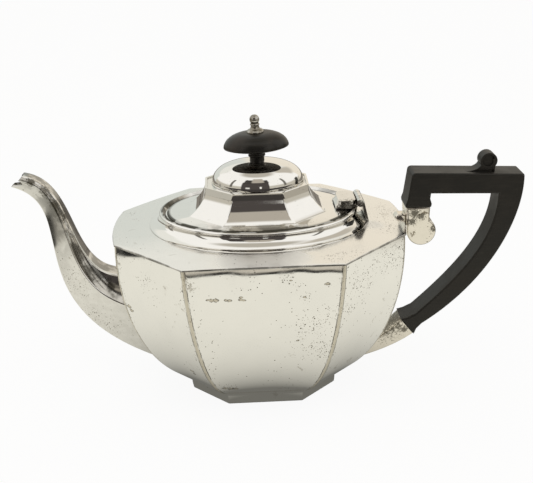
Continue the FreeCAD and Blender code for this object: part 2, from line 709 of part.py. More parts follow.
def riser_solid(inset):
    """The waisted octagon between the flange and the lip."""
    wires = []
    for step in range(SECTIONS):
        t = step / (SECTIONS - 1)
        spread = (1.0 - t) ** RISER_SWEEP
        half_length = LIP_HALF_LENGTH + (RISER_HALF_LENGTH - LIP_HALF_LENGTH) * spread - inset
        half_width = LIP_HALF_WIDTH + (RISER_HALF_WIDTH - LIP_HALF_WIDTH) * spread - inset
        z = FLANGE_Z + (LIP_Z - FLANGE_Z) * t
        wires.append(stretched_octagon(half_length, half_width, z))
    return Part.makeLoft(wires, True, False)


def lid_cover():
    flange = oval_prism(LID_HALF_LENGTH, LID_HALF_WIDTH, FLANGE_Z, FLANGE_TOP_Z)
    hollow = riser_solid(WALL)
    recess = octagon_prism(LIP_HALF_LENGTH - LIP_WIDTH, LIP_HALF_WIDTH - LIP_WIDTH, DOME_FOOT_Z, REACH)
    plate = octagon_prism(LIP_HALF_LENGTH - WALL / 2, LIP_HALF_WIDTH - WALL / 2, PLATE_Z, DOME_FOOT_Z)
    plate_hole = oval_prism(DOME_HALF_LENGTH - 2 * WALL, DOME_HALF_WIDTH - 2 * WALL, 0, REACH)
    shell = flange.fuse(riser_solid(0.0)).cut(hollow).fuse(plate)
    return shell.cut(plate_hole).cut(recess)


def dome_solid(inset):
    """An oval dome, a little fuller than an ellipsoid, standing in the lip's recess."""
    middle, edge, crown = Vec(0, 0, 0), Vec(1, 0, 0), Vec(0, 0, 1)
    side = bezier_edge([edge, Vec(1, 0, DOME_FULLNESS), Vec(DOME_FULLNESS, 0, 1), crown])
    outline = Part.Face(Part.Wire([side, line(crown, middle), line(middle, edge)]))
    turned = outline.revolve(middle, crown, 360)
    stretch = FreeCAD.Matrix()
    stretch.scale(DOME_HALF_LENGTH - inset, DOME_HALF_WIDTH - inset, DOME_RISE - inset)
    dome = turned.transformGeometry(stretch)
    dome.translate(Vec(0, 0, DOME_FOOT_Z))
    return dome


def lid_dome():
    shank_hole = Part.makeCylinder(SHANK_RADIUS, REACH)
    return dome_solid(0.0).cut(dome_solid(WALL)).cut(shank_hole)


def lid_bezel():
    outer_length = SEAT_HALF_LENGTH - BEARER_WIDTH - BEZEL_PLAY
    outer_width = SEAT_HALF_WIDTH - BEARER_WIDTH - BEZEL_PLAY
    ring = oval_prism(outer_length, outer_width, FLANGE_Z - BEZEL_DEPTH, FLANGE_Z)
    return ring.cut(oval_prism(outer_length - WALL, outer_width - WALL, 0, REACH))


def spun(points):
    """Turn a closed outline in the middle plane about the pot's axis."""
    return closed_face(points).revolve(Vec(0, 0, 0), Vec(0, 0, 1), 360)


def lid_knob():
    """The mushroom knob, turned and then made oval; its stem is hollowed to sit on the dome."""
    stem_low = Vec(STEM_RADIUS, 0, DOME_TOP_Z - WALL)
    ring_low = Vec(STEM_RADIUS, 0, STEM_RING_Z)
    ring_out = Vec(STEM_RADIUS + STEM_RING, 0, STEM_RING_Z + STEM_RING)
    neck = Vec(STEM_RADIUS, 0, STEM_RING_Z + 2 * STEM_RING)
    under_in = Vec(KNOB_HALF_LENGTH / 2, 0, CAP_UNDER_Z)
    under_mid = Vec(KNOB_HALF_LENGTH * UNDERCUT_AT, 0, (CAP_UNDER_Z + KNOB_RIM_Z) / 2 - STEM_RING / 2)
    rim_low = Vec(KNOB_HALF_LENGTH, 0, KNOB_RIM_Z)
    crown_mid = Vec(KNOB_HALF_LENGTH * CROWN_FULLNESS, 0, KNOB_RIM_Z + (KNOB_TOP_Z - KNOB_RIM_Z) * CROWN_FULLNESS)
    seat = Vec(KNOB_SEAT_RADIUS, 0, KNOB_TOP_Z)
    middle_high = Vec(0, 0, KNOB_TOP_Z)
    middle_low = Vec(0, 0, DOME_TOP_Z - WALL)
    edges = [
        line(middle_low, stem_low),
        line(stem_low, ring_low),
        line(ring_low, ring_out),
        line(ring_out, neck),
        line(neck, under_in),
        Part.Arc(under_in, under_mid, rim_low).toShape(),
        Part.Arc(rim_low, crown_mid, seat).toShape(),
        line(seat, middle_high),
        line(middle_high, middle_low),
    ]
    turned = Part.Face(Part.Wire(edges)).revolve(Vec(0, 0, 0), Vec(0, 0, 1), 360)
    squeeze = FreeCAD.Matrix()
    squeeze.scale(1.0, KNOB_HALF_WIDTH / KNOB_HALF_LENGTH, 1.0)
    knob = turned.transformGeometry(squeeze)
    return knob.cut(dome_solid(0.0)).cut(Part.makeCylinder(SHANK_RADIUS, REACH))


NUT_TOP_Z = DOME_TOP_Z - 2 * WALL - WASHER_THICK
WASHER_TOP_Z = NUT_TOP_Z + WASHER_THICK


def finial_stud():
    """The ball finial: a flange, a waist, a ball and the shank that draws the knob to the dome."""
    shank_low = NUT_TOP_Z - NUT_HEIGHT - SHANK_BELOW_NUT
    flange_top = KNOB_TOP_Z + FINIAL_BASE
    ball_z = FINIAL_TOP_Z - BALL_RADIUS
    flange = spun([
        Vec(0, 0, KNOB_TOP_Z),
        Vec(FINIAL_RADIUS, 0, KNOB_TOP_Z),
        Vec(FINIAL_RADIUS, 0, KNOB_TOP_Z + FINIAL_BASE / 3),
        Vec(FINIAL_WAIST, 0, flange_top + FINIAL_BASE / 3),
        Vec(FINIAL_WAIST * NECK_TAPER, 0, ball_z),
        Vec(0, 0, ball_z),
    ])
    ball = Part.makeSphere(BALL_RADIUS, Vec(0, 0, ball_z))
    shank = Part.makeCylinder(SHANK_RADIUS, KNOB_TOP_Z - shank_low, Vec(0, 0, shank_low))
    return shank.fuse(flange).fuse(ball)


def knob_washer():
    disc = Part.makeCylinder(WASHER_RADIUS, WASHER_THICK, Vec(0, 0, NUT_TOP_Z))
    return disc.cut(Part.makeCylinder(SHANK_RADIUS, REACH))


def knob_nut():
    corner = NUT_FLATS / math.sqrt(3)
    low = NUT_TOP_Z - NUT_HEIGHT
    points = [
        Vec(corner * math.cos(math.radians(60 * side)), corner * math.sin(math.radians(60 * side)), low)
        for side in range(6)
    ]
    hexagon = closed_face(points).extrude(Vec(0, 0, NUT_HEIGHT))
    return hexagon.cut(Part.makeCylinder(SHANK_RADIUS, REACH))


PIECES = {
    "body_shell": body_shell,
    "base_plate": base_plate,
    "foot_ring": foot_ring,
    "shoulder_plate": shoulder_plate,
    "collar_moulding": collar_moulding,
    "lid_bearer": lid_bearer,
    "spout": spout,
    "handle": handle,
    "upper_socket": upper_socket,
    "socket_bracket": socket_bracket,
    "lower_socket": lower_socket,
    "upper_handle_pin": lambda: cross_pin(UPPER_PIN_AT),
    "lower_handle_pin": lambda: cross_pin(LOWER_PIN_AT),
    "hinge_pot_leaf": hinge_pot_leaf,
    "hinge_lid_leaf": hinge_lid_leaf,
    "hinge_pin": hinge_pin,
    "lid_cover": lid_cover,
    "lid_dome": lid_dome,
    "lid_bezel": lid_bezel,
    "lid_knob": lid_knob,
    "finial_stud": finial_stud,
    "knob_washer": knob_washer,
    "knob_nut": knob_nut,
}

os.makedirs("parts", exist_ok=True)
for node, make in PIECES.items():
    shape = make()
    print(node, "solids", len(shape.Solids), "valid", shape.isValid(), "volume", round(shape.Volume, 1))
    shape.exportStep("parts/" + node + ".step")
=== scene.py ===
import math

import bmesh
import bpy
from mathutils import Matrix, Vector


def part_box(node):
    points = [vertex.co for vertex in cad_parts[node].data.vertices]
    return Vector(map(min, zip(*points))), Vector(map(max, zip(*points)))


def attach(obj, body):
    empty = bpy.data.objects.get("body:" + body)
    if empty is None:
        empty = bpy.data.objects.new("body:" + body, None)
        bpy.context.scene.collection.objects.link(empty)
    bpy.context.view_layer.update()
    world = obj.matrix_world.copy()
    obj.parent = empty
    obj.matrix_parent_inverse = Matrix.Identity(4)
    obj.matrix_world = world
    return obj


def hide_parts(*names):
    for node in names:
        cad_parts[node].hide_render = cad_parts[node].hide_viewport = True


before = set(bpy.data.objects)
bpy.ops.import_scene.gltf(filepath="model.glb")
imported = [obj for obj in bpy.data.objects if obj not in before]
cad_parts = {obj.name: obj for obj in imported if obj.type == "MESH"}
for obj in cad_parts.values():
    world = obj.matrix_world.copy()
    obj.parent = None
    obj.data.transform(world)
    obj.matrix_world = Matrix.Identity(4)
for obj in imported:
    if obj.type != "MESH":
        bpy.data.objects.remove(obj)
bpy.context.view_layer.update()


# Foot ring
# A strip of plated metal bent round eight corners and soldered under the body.
# Its lower edge stands on the table; its upper edge spreads in a small cove to meet the body.

FOOT_HALF_LENGTH, FOOT_HALF_WIDTH = 0.0422, 0.0343
FOOT_FRONT_HALF, FOOT_END_HALF = 0.0214, 0.0142
FOOT_END_BOW = 0.0015
FOOT_BAND = 0.0052
FOOT_COVE = 0.0009
FOOT_WALL = 0.0016
FOOT_EASE = 0.0008
FOOT_EDGE = 0.0003
FOOT_TOP_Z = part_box("foot_ring")[1].z
EASE_STEPS, SIDE_STEPS = 5, 16
SHARP_EDGE = math.radians(40)
OCTAGON_EDGE = math.tan(math.radians(22.5))


def shares(count):
    """Even steps from none to the whole."""
    return [step / count for step in range(count + 1)]


def bend(start, corner, end, t):
    """A point on the curve that rounds a corner."""
    return start * (1 - t) ** 2 + corner * (2 * t * (1 - t)) + end * t ** 2


def eased_ring(corners, ease, bows=None):
    """Walk round a polygon with eased corners; each point comes with its distance from the nearest
    corner. The middle of a side moves by the bow given for it."""
    ring = []
    for index, corner in enumerate(corners):
        before = corners[index - 1]
        after = corners[(index + 1) % len(corners)]
        start = corner + (before - corner).normalized() * ease
        end = corner + (after - corner).normalized() * ease
        stop = after + (corner - after).normalized() * ease
        ring += [(bend(start, corner, end, t), 0.0) for t in shares(EASE_STEPS - 1)]
        bow = bows[index] if bows else None
        length = (stop - end).length
        for step in range(1, SIDE_STEPS):
            t = (1 - math.cos(math.pi * step / SIDE_STEPS)) / 2
            point = end.lerp(stop, t)
            if bow:
                point = point + bow * (4 * t * (1 - t))
            ring.append((point, min(t, 1 - t) * length))
    return ring


def octagon_ring(half_length, half_width, front_half, end_half, z, ease, bow=0.0):
    """An octagon with eased corners, walked anticlockwise from the near left; its ends may be bowed."""
    corners = [Vector((x, y, z)) for x, y in (
        (-front_half, -half_width), (front_half, -half_width),
        (half_length, -end_half), (half_length, end_half),
        (front_half, half_width), (-front_half, half_width),
        (-half_length, end_half), (-half_length, -end_half))]
    out = Vector((bow, 0.0, 0.0))
    return eased_ring(corners, ease, [None, None, out, None, None, None, -out, None])


def as_object(mesh):
    piece = bpy.data.objects.new(mesh.name, mesh)
    bpy.context.scene.collection.objects.link(piece)
    return piece


def loft(name, rings, wrap=True, carries="edge_distance"):
    """Skin a row of rings, with its faces out of the metal; wrapped rows close on themselves like a tyre,
    open rows get flat ends. The number that comes with each point is kept as an attribute."""
    around = len(rings[0])
    faces = []
    for row in range(len(rings) if wrap else len(rings) - 1):
        low = row * around
        high = (row + 1) % len(rings) * around
        for index in range(around):
            following = (index + 1) % around
            faces.append((low + index, low + following, high + following, high + index))
    if not wrap:
        last = (len(rings) - 1) * around
        faces.append(tuple(reversed(range(around))))
        faces.append(tuple(range(last, last + around)))
    mesh = bpy.data.meshes.new(name)
    mesh.from_pydata([point for ring in rings for point, number in ring], [], faces)
    carried = mesh.attributes.new(carries, "FLOAT", "POINT")
    carried.data.foreach_set("value", [number for ring in rings for point, number in ring])
    work = bmesh.new()
    work.from_mesh(mesh)
    bmesh.ops.recalc_face_normals(work, faces=work.faces)
    work.to_mesh(mesh)
    work.free()
    return as_object(mesh)


def settle(piece):
    """Turn a piece's modifiers into plain mesh."""
    bpy.context.view_layer.update()
    graph = bpy.context.evaluated_depsgraph_get()
    mesh = bpy.data.meshes.new_from_object(
        piece.evaluated_get(graph), preserve_all_data_layers=True, depsgraph=graph)
    piece.modifiers.clear()
    piece.data = mesh


def smooth(piece):
    """Shade smoothly up to the sharp edges, with flat faces kept flat."""
    piece.data.polygons.foreach_set("use_smooth", [True] * len(piece.data.polygons))
    piece.data.set_sharp_from_angle(angle=SHARP_EDGE)
    weigh = piece.modifiers.new("flat_faces", "WEIGHTED_NORMAL")
    weigh.keep_sharp = True
    settle(piece)


def dress(piece, material):
    piece.data.materials.clear()
    piece.data.materials.append(material)


def place(piece, body, node, material):
    """Finish a piece that stands for a solid of the frame."""
    smooth(piece)
    dress(piece, material)
    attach(piece, body)
    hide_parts(node)


def foot_outline(spread, z):
    side = spread * OCTAGON_EDGE
    return octagon_ring(
        FOOT_HALF_LENGTH + spread, FOOT_HALF_WIDTH + spread,
        FOOT_FRONT_HALF + side, FOOT_END_HALF + side, z, FOOT_EASE, FOOT_END_BOW)


foot = loft("foot", [foot_outline(spread, z) for spread, z in (
    (-FOOT_EDGE, 0.0),
    (0.0, FOOT_EDGE),
    (0.0, FOOT_BAND),
    (FOOT_COVE / 4, (FOOT_BAND + FOOT_TOP_Z) / 2),
    (FOOT_COVE, FOOT_TOP_Z),
    (-FOOT_WALL, FOOT_TOP_Z),
    (-FOOT_WALL, 0.0))])


def feed(tree, node, sources):
    """Link a node's inputs, or set those given as plain values."""
    for socket, source in sources.items():
        if isinstance(source, bpy.types.NodeSocket):
            tree.links.new(source, node.inputs[socket])
        else:
            node.inputs[socket].default_value = source


def node_in(tree, kind, sources=None, **properties):
    """Add a node, set its properties and feed its inputs, which go by name or number."""
    node = tree.nodes.new(kind)
    for name, value in properties.items():
        setattr(node, name, value)
    feed(tree, node, sources or {})
    return node


def maths(tree, operation, first, second=0.0, third=0.0, clamp=False):
    sources = {0: first, 1: second, 2: third}
    return node_in(tree, "ShaderNodeMath", sources, operation=operation, use_clamp=clamp).outputs[0]


def ramp(tree, value, low, high, from_value=0.0, to_value=1.0):
    """Rise smoothly between two levels of a value."""
    sources = {"Value": value, "From Min": low, "From Max": high, "To Min": from_value, "To Max": to_value}
    return node_in(tree, "ShaderNodeMapRange", sources, interpolation_type="SMOOTHSTEP").outputs["Result"]


def blend_colours(tree, share, first, second, blend_type="MIX"):
    sources = {0: share, 6: first, 7: second}
    return node_in(tree, "ShaderNodeMix", sources, data_type="RGBA", blend_type=blend_type).outputs[2]


def noise(tree, vector, scale, detail=3.0, roughness=0.55, distortion=0.0):
    sources = {"Vector": vector, "Scale": scale, "Detail": detail,
               "Roughness": roughness, "Distortion": distortion}
    return node_in(tree, "ShaderNodeTexNoise", sources).outputs["Fac"]


def specks(tree, vector, scale):
    """Scattered specks: the distance from the nearest one, and three numbers drawn for it."""
    cells = node_in(tree, "ShaderNodeTexVoronoi", {"Vector": vector, "Scale": scale})
    drawn = node_in(tree, "ShaderNodeSeparateColor", {0: cells.outputs["Color"]})
    return cells.outputs["Distance"], *drawn.outputs


def attribute(tree, name):
    return node_in(tree, "ShaderNodeAttribute", attribute_name=name).outputs["Fac"]


def bumped(tree, height, strength, distance):
    sources = {"Strength": strength, "Distance": distance, "Height": height}
    return node_in(tree, "ShaderNodeBump", sources).outputs["Normal"]


def new_material(name):
    """A material with its tree, its shader and the place of each point."""
    material = bpy.data.materials.new(name)
    material.use_nodes = True
    tree = material.node_tree
    coords = node_in(tree, "ShaderNodeTexCoord").outputs["Object"]
    return material, tree, tree.nodes["Principled BSDF"], coords


CLEAN_SILVER = (0.925, 0.905, 0.865, 1.0)
HAZED_SILVER = (0.86, 0.845, 0.81, 1.0)
FAINT_STAIN = (0.33, 0.29, 0.22, 1.0)
PIT_BROWN = (0.17, 0.15, 0.115, 1.0)
MM_PER_METRE = 1000.0
PITS_PER_MM, FINE_PITS_PER_MM = 0.85, 1.6
PIT_SIZE, PIT_GROWTH, FINE_PIT_SIZE = 0.29, 0.08, 0.42
PIT_SHARE, FINE_PIT_SHARE = 0.45, 0.50
STRAY_PIT = 0.985
PIT_DEPTH = -0.012
POLISHED, HAZE_DULLS, MARK_DULLS = 0.035, 0.16, 0.35
# Each pattern has its scale, detail, roughness and distortion, and the levels between which it shows.
PIT_PATCHES, PIT_PATCH_EDGE = (0.045, 4.0, 0.6), (0.50, 0.66)
BLOTCHES, BLOTCH_EDGE = (0.16, 7.0, 0.66, 0.4), (0.60, 0.66)
STAIN_PLACES, STAIN_PLACE_EDGE = (0.028, 2.0), (0.55, 0.62)
HAZE_CLOUDS, HAZE_EDGE = (0.07, 5.0, 0.6), (0.35, 0.75)
HAND_WAVES = (0.05, 1.0, 0.4)


def worn_plate_group():
    """Old silver plate: soft waves from hand finishing, pinhole pits in patches, stains and rubbed haze."""
    group = bpy.data.node_groups.new("worn_plate", "ShaderNodeTree")
    group.interface.new_socket("Vector", in_out="INPUT", socket_type="NodeSocketVector")
    for label in ("Pits", "Stains", "Haze", "Pitted", "Satin", "Waves"):
        group.interface.new_socket(label, in_out="INPUT", socket_type="NodeSocketFloat")
    group.interface.new_socket("Color", in_out="OUTPUT", socket_type="NodeSocketColor")
    group.interface.new_socket("Roughness", in_out="OUTPUT", socket_type="NodeSocketFloat")
    group.interface.new_socket("Height", in_out="OUTPUT", socket_type="NodeSocketFloat")
    given = group.nodes.new("NodeGroupInput").outputs
    scaled = {0: given["Vector"], "Scale": MM_PER_METRE}
    place_mm = node_in(group, "ShaderNodeVectorMath", scaled, operation="SCALE").outputs[0]

    patches = ramp(group, noise(group, place_mm, *PIT_PATCHES), *PIT_PATCH_EDGE)
    patches = maths(group, "MAXIMUM", patches, given["Pitted"])
    apart, chance, luck, size = specks(group, place_mm, PITS_PER_MM)
    rarity = maths(group, "SUBTRACT", 1.0, maths(group, "MULTIPLY", patches, PIT_SHARE))
    picked = maths(group, "GREATER_THAN", chance, rarity)
    stray = maths(group, "GREATER_THAN", luck, STRAY_PIT)
    largest = maths(group, "MULTIPLY_ADD", given["Pitted"], PIT_GROWTH, PIT_SIZE)
    dots = maths(group, "LESS_THAN", apart, maths(group, "MULTIPLY", size, largest))
    pits = maths(group, "MULTIPLY", dots, maths(group, "MAXIMUM", picked, stray))
    apart, chance, _, size = specks(group, place_mm, FINE_PITS_PER_MM)
    fine = maths(group, "LESS_THAN", apart, maths(group, "MULTIPLY", size, FINE_PIT_SIZE))
    rarity = maths(group, "SUBTRACT", 1.0, maths(group, "MULTIPLY", given["Pitted"], FINE_PIT_SHARE))
    fine = maths(group, "MULTIPLY", fine, maths(group, "GREATER_THAN", chance, rarity))
    pits = maths(group, "MULTIPLY", maths(group, "MAXIMUM", pits, fine), given["Pits"], clamp=True)

    blotches = ramp(group, noise(group, place_mm, *BLOTCHES), *BLOTCH_EDGE)
    places = ramp(group, noise(group, place_mm, *STAIN_PLACES), *STAIN_PLACE_EDGE)
    stains = maths(group, "MULTIPLY", blotches, places)
    stains = maths(group, "MULTIPLY", stains, given["Stains"], clamp=True)

    haze = noise(group, place_mm, *HAZE_CLOUDS)
    tone = blend_colours(group, haze, CLEAN_SILVER, HAZED_SILVER)
    tone = blend_colours(group, stains, tone, FAINT_STAIN)
    tone = blend_colours(group, pits, tone, PIT_BROWN)

    rubbed = maths(group, "MULTIPLY", ramp(group, haze, *HAZE_EDGE), given["Haze"])
    rough = maths(group, "ADD", maths(group, "MULTIPLY_ADD", rubbed, HAZE_DULLS, POLISHED), given["Satin"])
    rough = maths(group, "MULTIPLY_ADD", maths(group, "MAXIMUM", pits, stains), MARK_DULLS, rough)

    waves = maths(group, "MULTIPLY", noise(group, place_mm, *HAND_WAVES), given["Waves"])
    height = maths(group, "MULTIPLY_ADD", pits, PIT_DEPTH, waves)
    node_in(group, "NodeGroupOutput", {"Color": tone, "Roughness": rough, "Height": height})
    return group


WORN_PLATE = worn_plate_group()
BUFF = (0.60, 0.545, 0.43, 1.0)
# Dark tone of grime and painted shade in crevices
GRIME_AND_SHADE = (0.085, 0.075, 0.058, 1.0)
STAIN_FILL = (0.52, 0.46, 0.35, 1.0)
STAIN_RIM = (0.09, 0.078, 0.058, 1.0)
TARNISH = (0.26, 0.235, 0.19, 1.0)
# Black of tarnish; on the hinge it is painted shade with grime
TARNISH_AND_SHADE_BLACK = (0.10, 0.090, 0.068, 1.0)
# Black of the hollow marks: painted shade and dark reflection, with tarnish on the spout
HOLLOW_BLACK = (0.060, 0.056, 0.042, 1.0)
FAR = 100.0
SPOT_FADE = (1.2, 0.3)
STAIN_SQUAT = 1.7
RUBBED_DULLS = 0.34
CREVICE = 0.0016
EDGE_RAGGED = 0.0009
EDGE_LINE = 0.0007
EDGE_PITTED = (0.0060, 0.0010, 0.0, 0.4)
MOTTLE = (900.0, 5.0, 0.65)
TARNISH_CLOUDS, TARNISH_EDGE = (260.0, 4.0, 0.6), (0.25, 0.75)
TARNISH_LEAST, TARNISH_MOST, TARNISH_DULLS = 0.5, 1.2, 0.12
STREAKS, STREAK_EDGE = (95.0, 3.0, 0.55), (0.40, 0.56)
STREAK_LEAST, HOLLOW_DULLS = 0.25, 0.1
BLACK_MOTTLED, BLACK_EDGE, BLACK_DULLS = 3.0, (2.45, 1.80, 0.0, 0.85), 0.2
STAIN_FLOW, STAIN_RAGGED = (420.0, 3.0, 0.6, 0.5), 1.1
STAIN_EDGE, STAIN_DULLS = (1.20, 1.08, 0.0, 0.75), 0.25
STAIN_RIM_INNER, STAIN_RIM_OUTER, STAIN_RIM_BREAKS = (0.95, 1.10), (1.42, 1.22), (0.40, 0.55, 0.1, 0.9)
EDGE_WANDER = (420.0, 4.0, 0.65)
EDGE_BREAKS, EDGE_BREAK_EDGE = (150.0, 4.0, 0.6), (0.38, 0.55, 0.25, 0.9)
BUFF_SHARE, BUFF_DULLS = 0.8, 0.275
CREVICE_EDGE, GRIME_AND_SHADE_DULLS = (0.80, 0.35), 0.3
PLATE_RELIEF = (1.0, 0.001)


def nearness(tree, coords, spots):
    """Distance to the nearest of some spots, as a share of each spot's size."""
    nearest = FAR
    for x, y, z, size in spots:
        apart = node_in(tree, "ShaderNodeVectorMath", {0: coords, 1: (x, y, z)}, operation="DISTANCE")
        nearest = maths(tree, "MINIMUM", nearest, maths(tree, "DIVIDE", apart.outputs["Value"], size))
    return nearest


def silver(name, pits, stains, haze, satin=0.0, waves=0.08, edge_width=0.0, grime_and_shade=0.7, tarnish=0.0,
           hollow=0.0, tint=None, stain_spots=(), pit_spots=(), dark_spots=(), rubbed_spots=()):
    """Polished silver plate with grime and painted shade in its crevices, and old marks where they are given
    (the hinge's dark spots are painted shade with grime); black streaks of painted shade, dark reflection and
    tarnish where the hollow attribute marks it; along panel edges the plate is rubbed through to a buff line
    between two dark ones."""
    material, tree, shader, coords = new_material(name)
    plate = node_in(
        tree, "ShaderNodeGroup",
        {"Vector": coords, "Pits": pits, "Stains": stains, "Haze": haze, "Satin": satin, "Waves": waves},
        node_tree=WORN_PLATE)
    colour = plate.outputs["Color"]
    rough = plate.outputs["Roughness"]
    edge = attribute(tree, "edge_distance") if edge_width > 0 else None
    mottle = noise(tree, coords, *MOTTLE) if dark_spots or stain_spots else None

    def lay(share, tone, dulls=0.0):
        """Cover the plate with a share of another tone, which may dull it too."""
        nonlocal colour, rough
        colour = blend_colours(tree, share, colour, tone)
        if dulls > 0:
            rough = maths(tree, "MULTIPLY_ADD", share, dulls, rough)

    if tint:
        colour = blend_colours(tree, 1.0, colour, tint, "MULTIPLY")
    if pit_spots:
        pitted = ramp(tree, nearness(tree, coords, pit_spots), *SPOT_FADE)
        if edge_width > 0:
            pitted = maths(tree, "MAXIMUM", pitted, ramp(tree, edge, *EDGE_PITTED))
        feed(tree, plate, {"Pitted": pitted})
    if tarnish > 0:
        clouds = noise(tree, coords, *TARNISH_CLOUDS)
        dull = ramp(tree, clouds, *TARNISH_EDGE, TARNISH_LEAST * tarnish, TARNISH_MOST * tarnish)
        lay(dull, TARNISH, TARNISH_DULLS)
    # Black streaks where the hollow attribute marks them: painted shade in the lid gap, painted dark
    # reflection, shadow and tarnish on the spout, and plain darkening at the shoulder's rim and the riser's
    # foot
    if hollow > 0:
        streaks = ramp(tree, noise(tree, coords, *STREAKS), *STREAK_EDGE, STREAK_LEAST * hollow, hollow)
        lay(maths(tree, "MULTIPLY", attribute(tree, "hollow"), streaks), HOLLOW_BLACK, HOLLOW_DULLS)
    # Dark spots: tarnish, and on the hinge painted shade with grime
    if dark_spots:
        cloud = maths(tree, "MULTIPLY_ADD", mottle, BLACK_MOTTLED, nearness(tree, coords, dark_spots))
        lay(ramp(tree, cloud, *BLACK_EDGE), TARNISH_AND_SHADE_BLACK, BLACK_DULLS)
    if rubbed_spots:
        rubbed = ramp(tree, nearness(tree, coords, rubbed_spots), *SPOT_FADE, 0.0, RUBBED_DULLS)
        rough = maths(tree, "ADD", rough, rubbed)
    if stain_spots:
        squat = node_in(
            tree, "ShaderNodeVectorMath", {0: coords, 1: (1.0, 1.0, STAIN_SQUAT)}, operation="MULTIPLY")
        spots = [(x, y, z * STAIN_SQUAT, size) for x, y, z, size in stain_spots]
        flow = noise(tree, coords, *STAIN_FLOW)
        spread = maths(tree, "MULTIPLY_ADD", flow, STAIN_RAGGED, nearness(tree, squat.outputs[0], spots))
        inner = ramp(tree, spread, *STAIN_RIM_INNER)
        rim = maths(tree, "MULTIPLY", inner, ramp(tree, spread, *STAIN_RIM_OUTER))
        lay(ramp(tree, spread, *STAIN_EDGE), STAIN_FILL, STAIN_DULLS)
        lay(maths(tree, "MULTIPLY", rim, ramp(tree, mottle, *STAIN_RIM_BREAKS)), STAIN_RIM)
    if edge_width > 0:
        wander = maths(tree, "SUBTRACT", noise(tree, coords, *EDGE_WANDER), 0.5)
        ragged = maths(tree, "MULTIPLY_ADD", wander, EDGE_RAGGED, edge)
        rim = maths(tree, "MULTIPLY",
                    ramp(tree, ragged, edge_width * 0.9, edge_width * 1.3),
                    ramp(tree, ragged, edge_width + EDGE_LINE, edge_width + EDGE_LINE * 0.5))
        broken = ramp(tree, noise(tree, coords, *EDGE_BREAKS), *EDGE_BREAK_EDGE)
        lay(ramp(tree, ragged, edge_width * 1.2, edge_width * 0.8, 0.0, BUFF_SHARE), BUFF, BUFF_DULLS)
        lay(maths(tree, "MULTIPLY", rim, broken), STAIN_RIM)
    # Grime and painted shade: an ambient occlusion mask darkens crevices, corners and the places under edges
    if grime_and_shade > 0:
        crevice = node_in(tree, "ShaderNodeAmbientOcclusion", {"Distance": CREVICE}, samples=4)
        lay(ramp(tree, crevice.outputs["AO"], *CREVICE_EDGE, 0.0, grime_and_shade), GRIME_AND_SHADE, GRIME_AND_SHADE_DULLS)
    feed(tree, shader, {
        "Metallic": 1.0, "Base Color": colour, "Roughness": rough,
        "Normal": bumped(tree, plate.outputs["Height"], *PLATE_RELIEF)})
    return material


foot_silver = silver("foot_silver", pits=0.5, stains=0.3, haze=0.9)
place(foot, "pot", "foot_ring", foot_silver)


# Base plate
# The flat floor of the pot, soldered on a ledge inside the body just above the foot.
# It is plain plated sheet and shows only through the open lid and from underneath.

inner_silver = silver("inner_silver", pits=0.8, stains=0.8, haze=1.0, grime_and_shade=0.0)
dress(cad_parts["base_plate"], inner_silver)


# Body
# Eight panels of plated sheet, raised and seamed into a bowl that draws in to the foot.
# The panels are straight across, curved from top to bottom, and meet in crisp upright edges.

FULL_HALF_LENGTH, FULL_HALF_WIDTH = 0.0800, 0.0646
TOP_FRONT_HALF, TOP_END_HALF = 0.0418, 0.0266
FRONT_LEAN, END_LEAN = 0.0060, 0.0035
END_BOW = 0.0028
SHOULDER_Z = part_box("shoulder_plate")[1].z
SHELL_TOP_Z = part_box("body_shell")[1].z
FULL_Z = SHOULDER_Z - 0.0115
BELLY_DROP = FULL_Z - FOOT_TOP_Z + 0.0015
SHEET = 0.0012
FLOOR_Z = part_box("base_plate")[0].z
FLOOR_LEDGE = 0.0050
BODY_EASE = 0.0006
BODY_ROWS = 40


def drawn_in(inset, z):
    rise = (FULL_Z - z) / (BELLY_DROP - inset)
    return 1.0 - math.sqrt(1.0 - rise * rise)


def body_outline(z, inset=0.0):
    """The body's outline at a level, drawn in along a quarter ellipse."""
    at_foot = drawn_in(0.0, FOOT_TOP_Z)
    lean = (SHOULDER_Z - z) / (SHOULDER_Z - FOOT_TOP_Z)
    drawn = drawn_in(inset, z)
    side_inset = inset * OCTAGON_EDGE
    length_draw = (FULL_HALF_LENGTH - FOOT_HALF_LENGTH - FOOT_COVE) / at_foot
    width_draw = (FULL_HALF_WIDTH - FOOT_HALF_WIDTH - FOOT_COVE) / at_foot
    front_draw = (TOP_FRONT_HALF - FOOT_FRONT_HALF - FRONT_LEAN) / at_foot
    end_draw = (TOP_END_HALF - FOOT_END_HALF - END_LEAN) / at_foot
    end_half = TOP_END_HALF - side_inset - END_LEAN * lean - end_draw * drawn
    return octagon_ring(
        FULL_HALF_LENGTH - inset - (length_draw - inset) * drawn,
        FULL_HALF_WIDTH - inset - (width_draw - inset) * drawn,
        TOP_FRONT_HALF - side_inset - FRONT_LEAN * lean - front_draw * drawn,
        end_half, z, BODY_EASE, END_BOW * end_half / TOP_END_HALF)


def body_rings(low, high, inset):
    drop = BELLY_DROP - inset
    first = math.asin((FULL_Z - low) / drop)
    last = math.asin((FULL_Z - high) / drop)
    angles = [first + (last - first) * share for share in shares(BODY_ROWS)]
    return [body_outline(FULL_Z - drop * math.sin(angle), inset) for angle in angles]


def floor_outline(z):
    half_length = FOOT_HALF_LENGTH - FLOOR_LEDGE
    half_width = FOOT_HALF_WIDTH - FLOOR_LEDGE
    end_half = half_width * OCTAGON_EDGE
    return octagon_ring(half_length, half_width, half_length - half_width + end_half, end_half, z, BODY_EASE)


outer_skin = body_rings(FOOT_TOP_Z, SHELL_TOP_Z, 0.0)
inner_skin = body_rings(FLOOR_Z, SHELL_TOP_Z, SHEET)
body = loft("body", outer_skin + inner_skin[::-1] + [floor_outline(FLOOR_Z), floor_outline(FOOT_TOP_Z)])

STRAINER_RADIUS = 0.0017
STRAINER_PITCH = 0.0070
STRAINER_COLUMNS, STRAINER_ROWS = 3, 5
STRAINER_Z = 0.0480
STRAINER_SIDES = 20


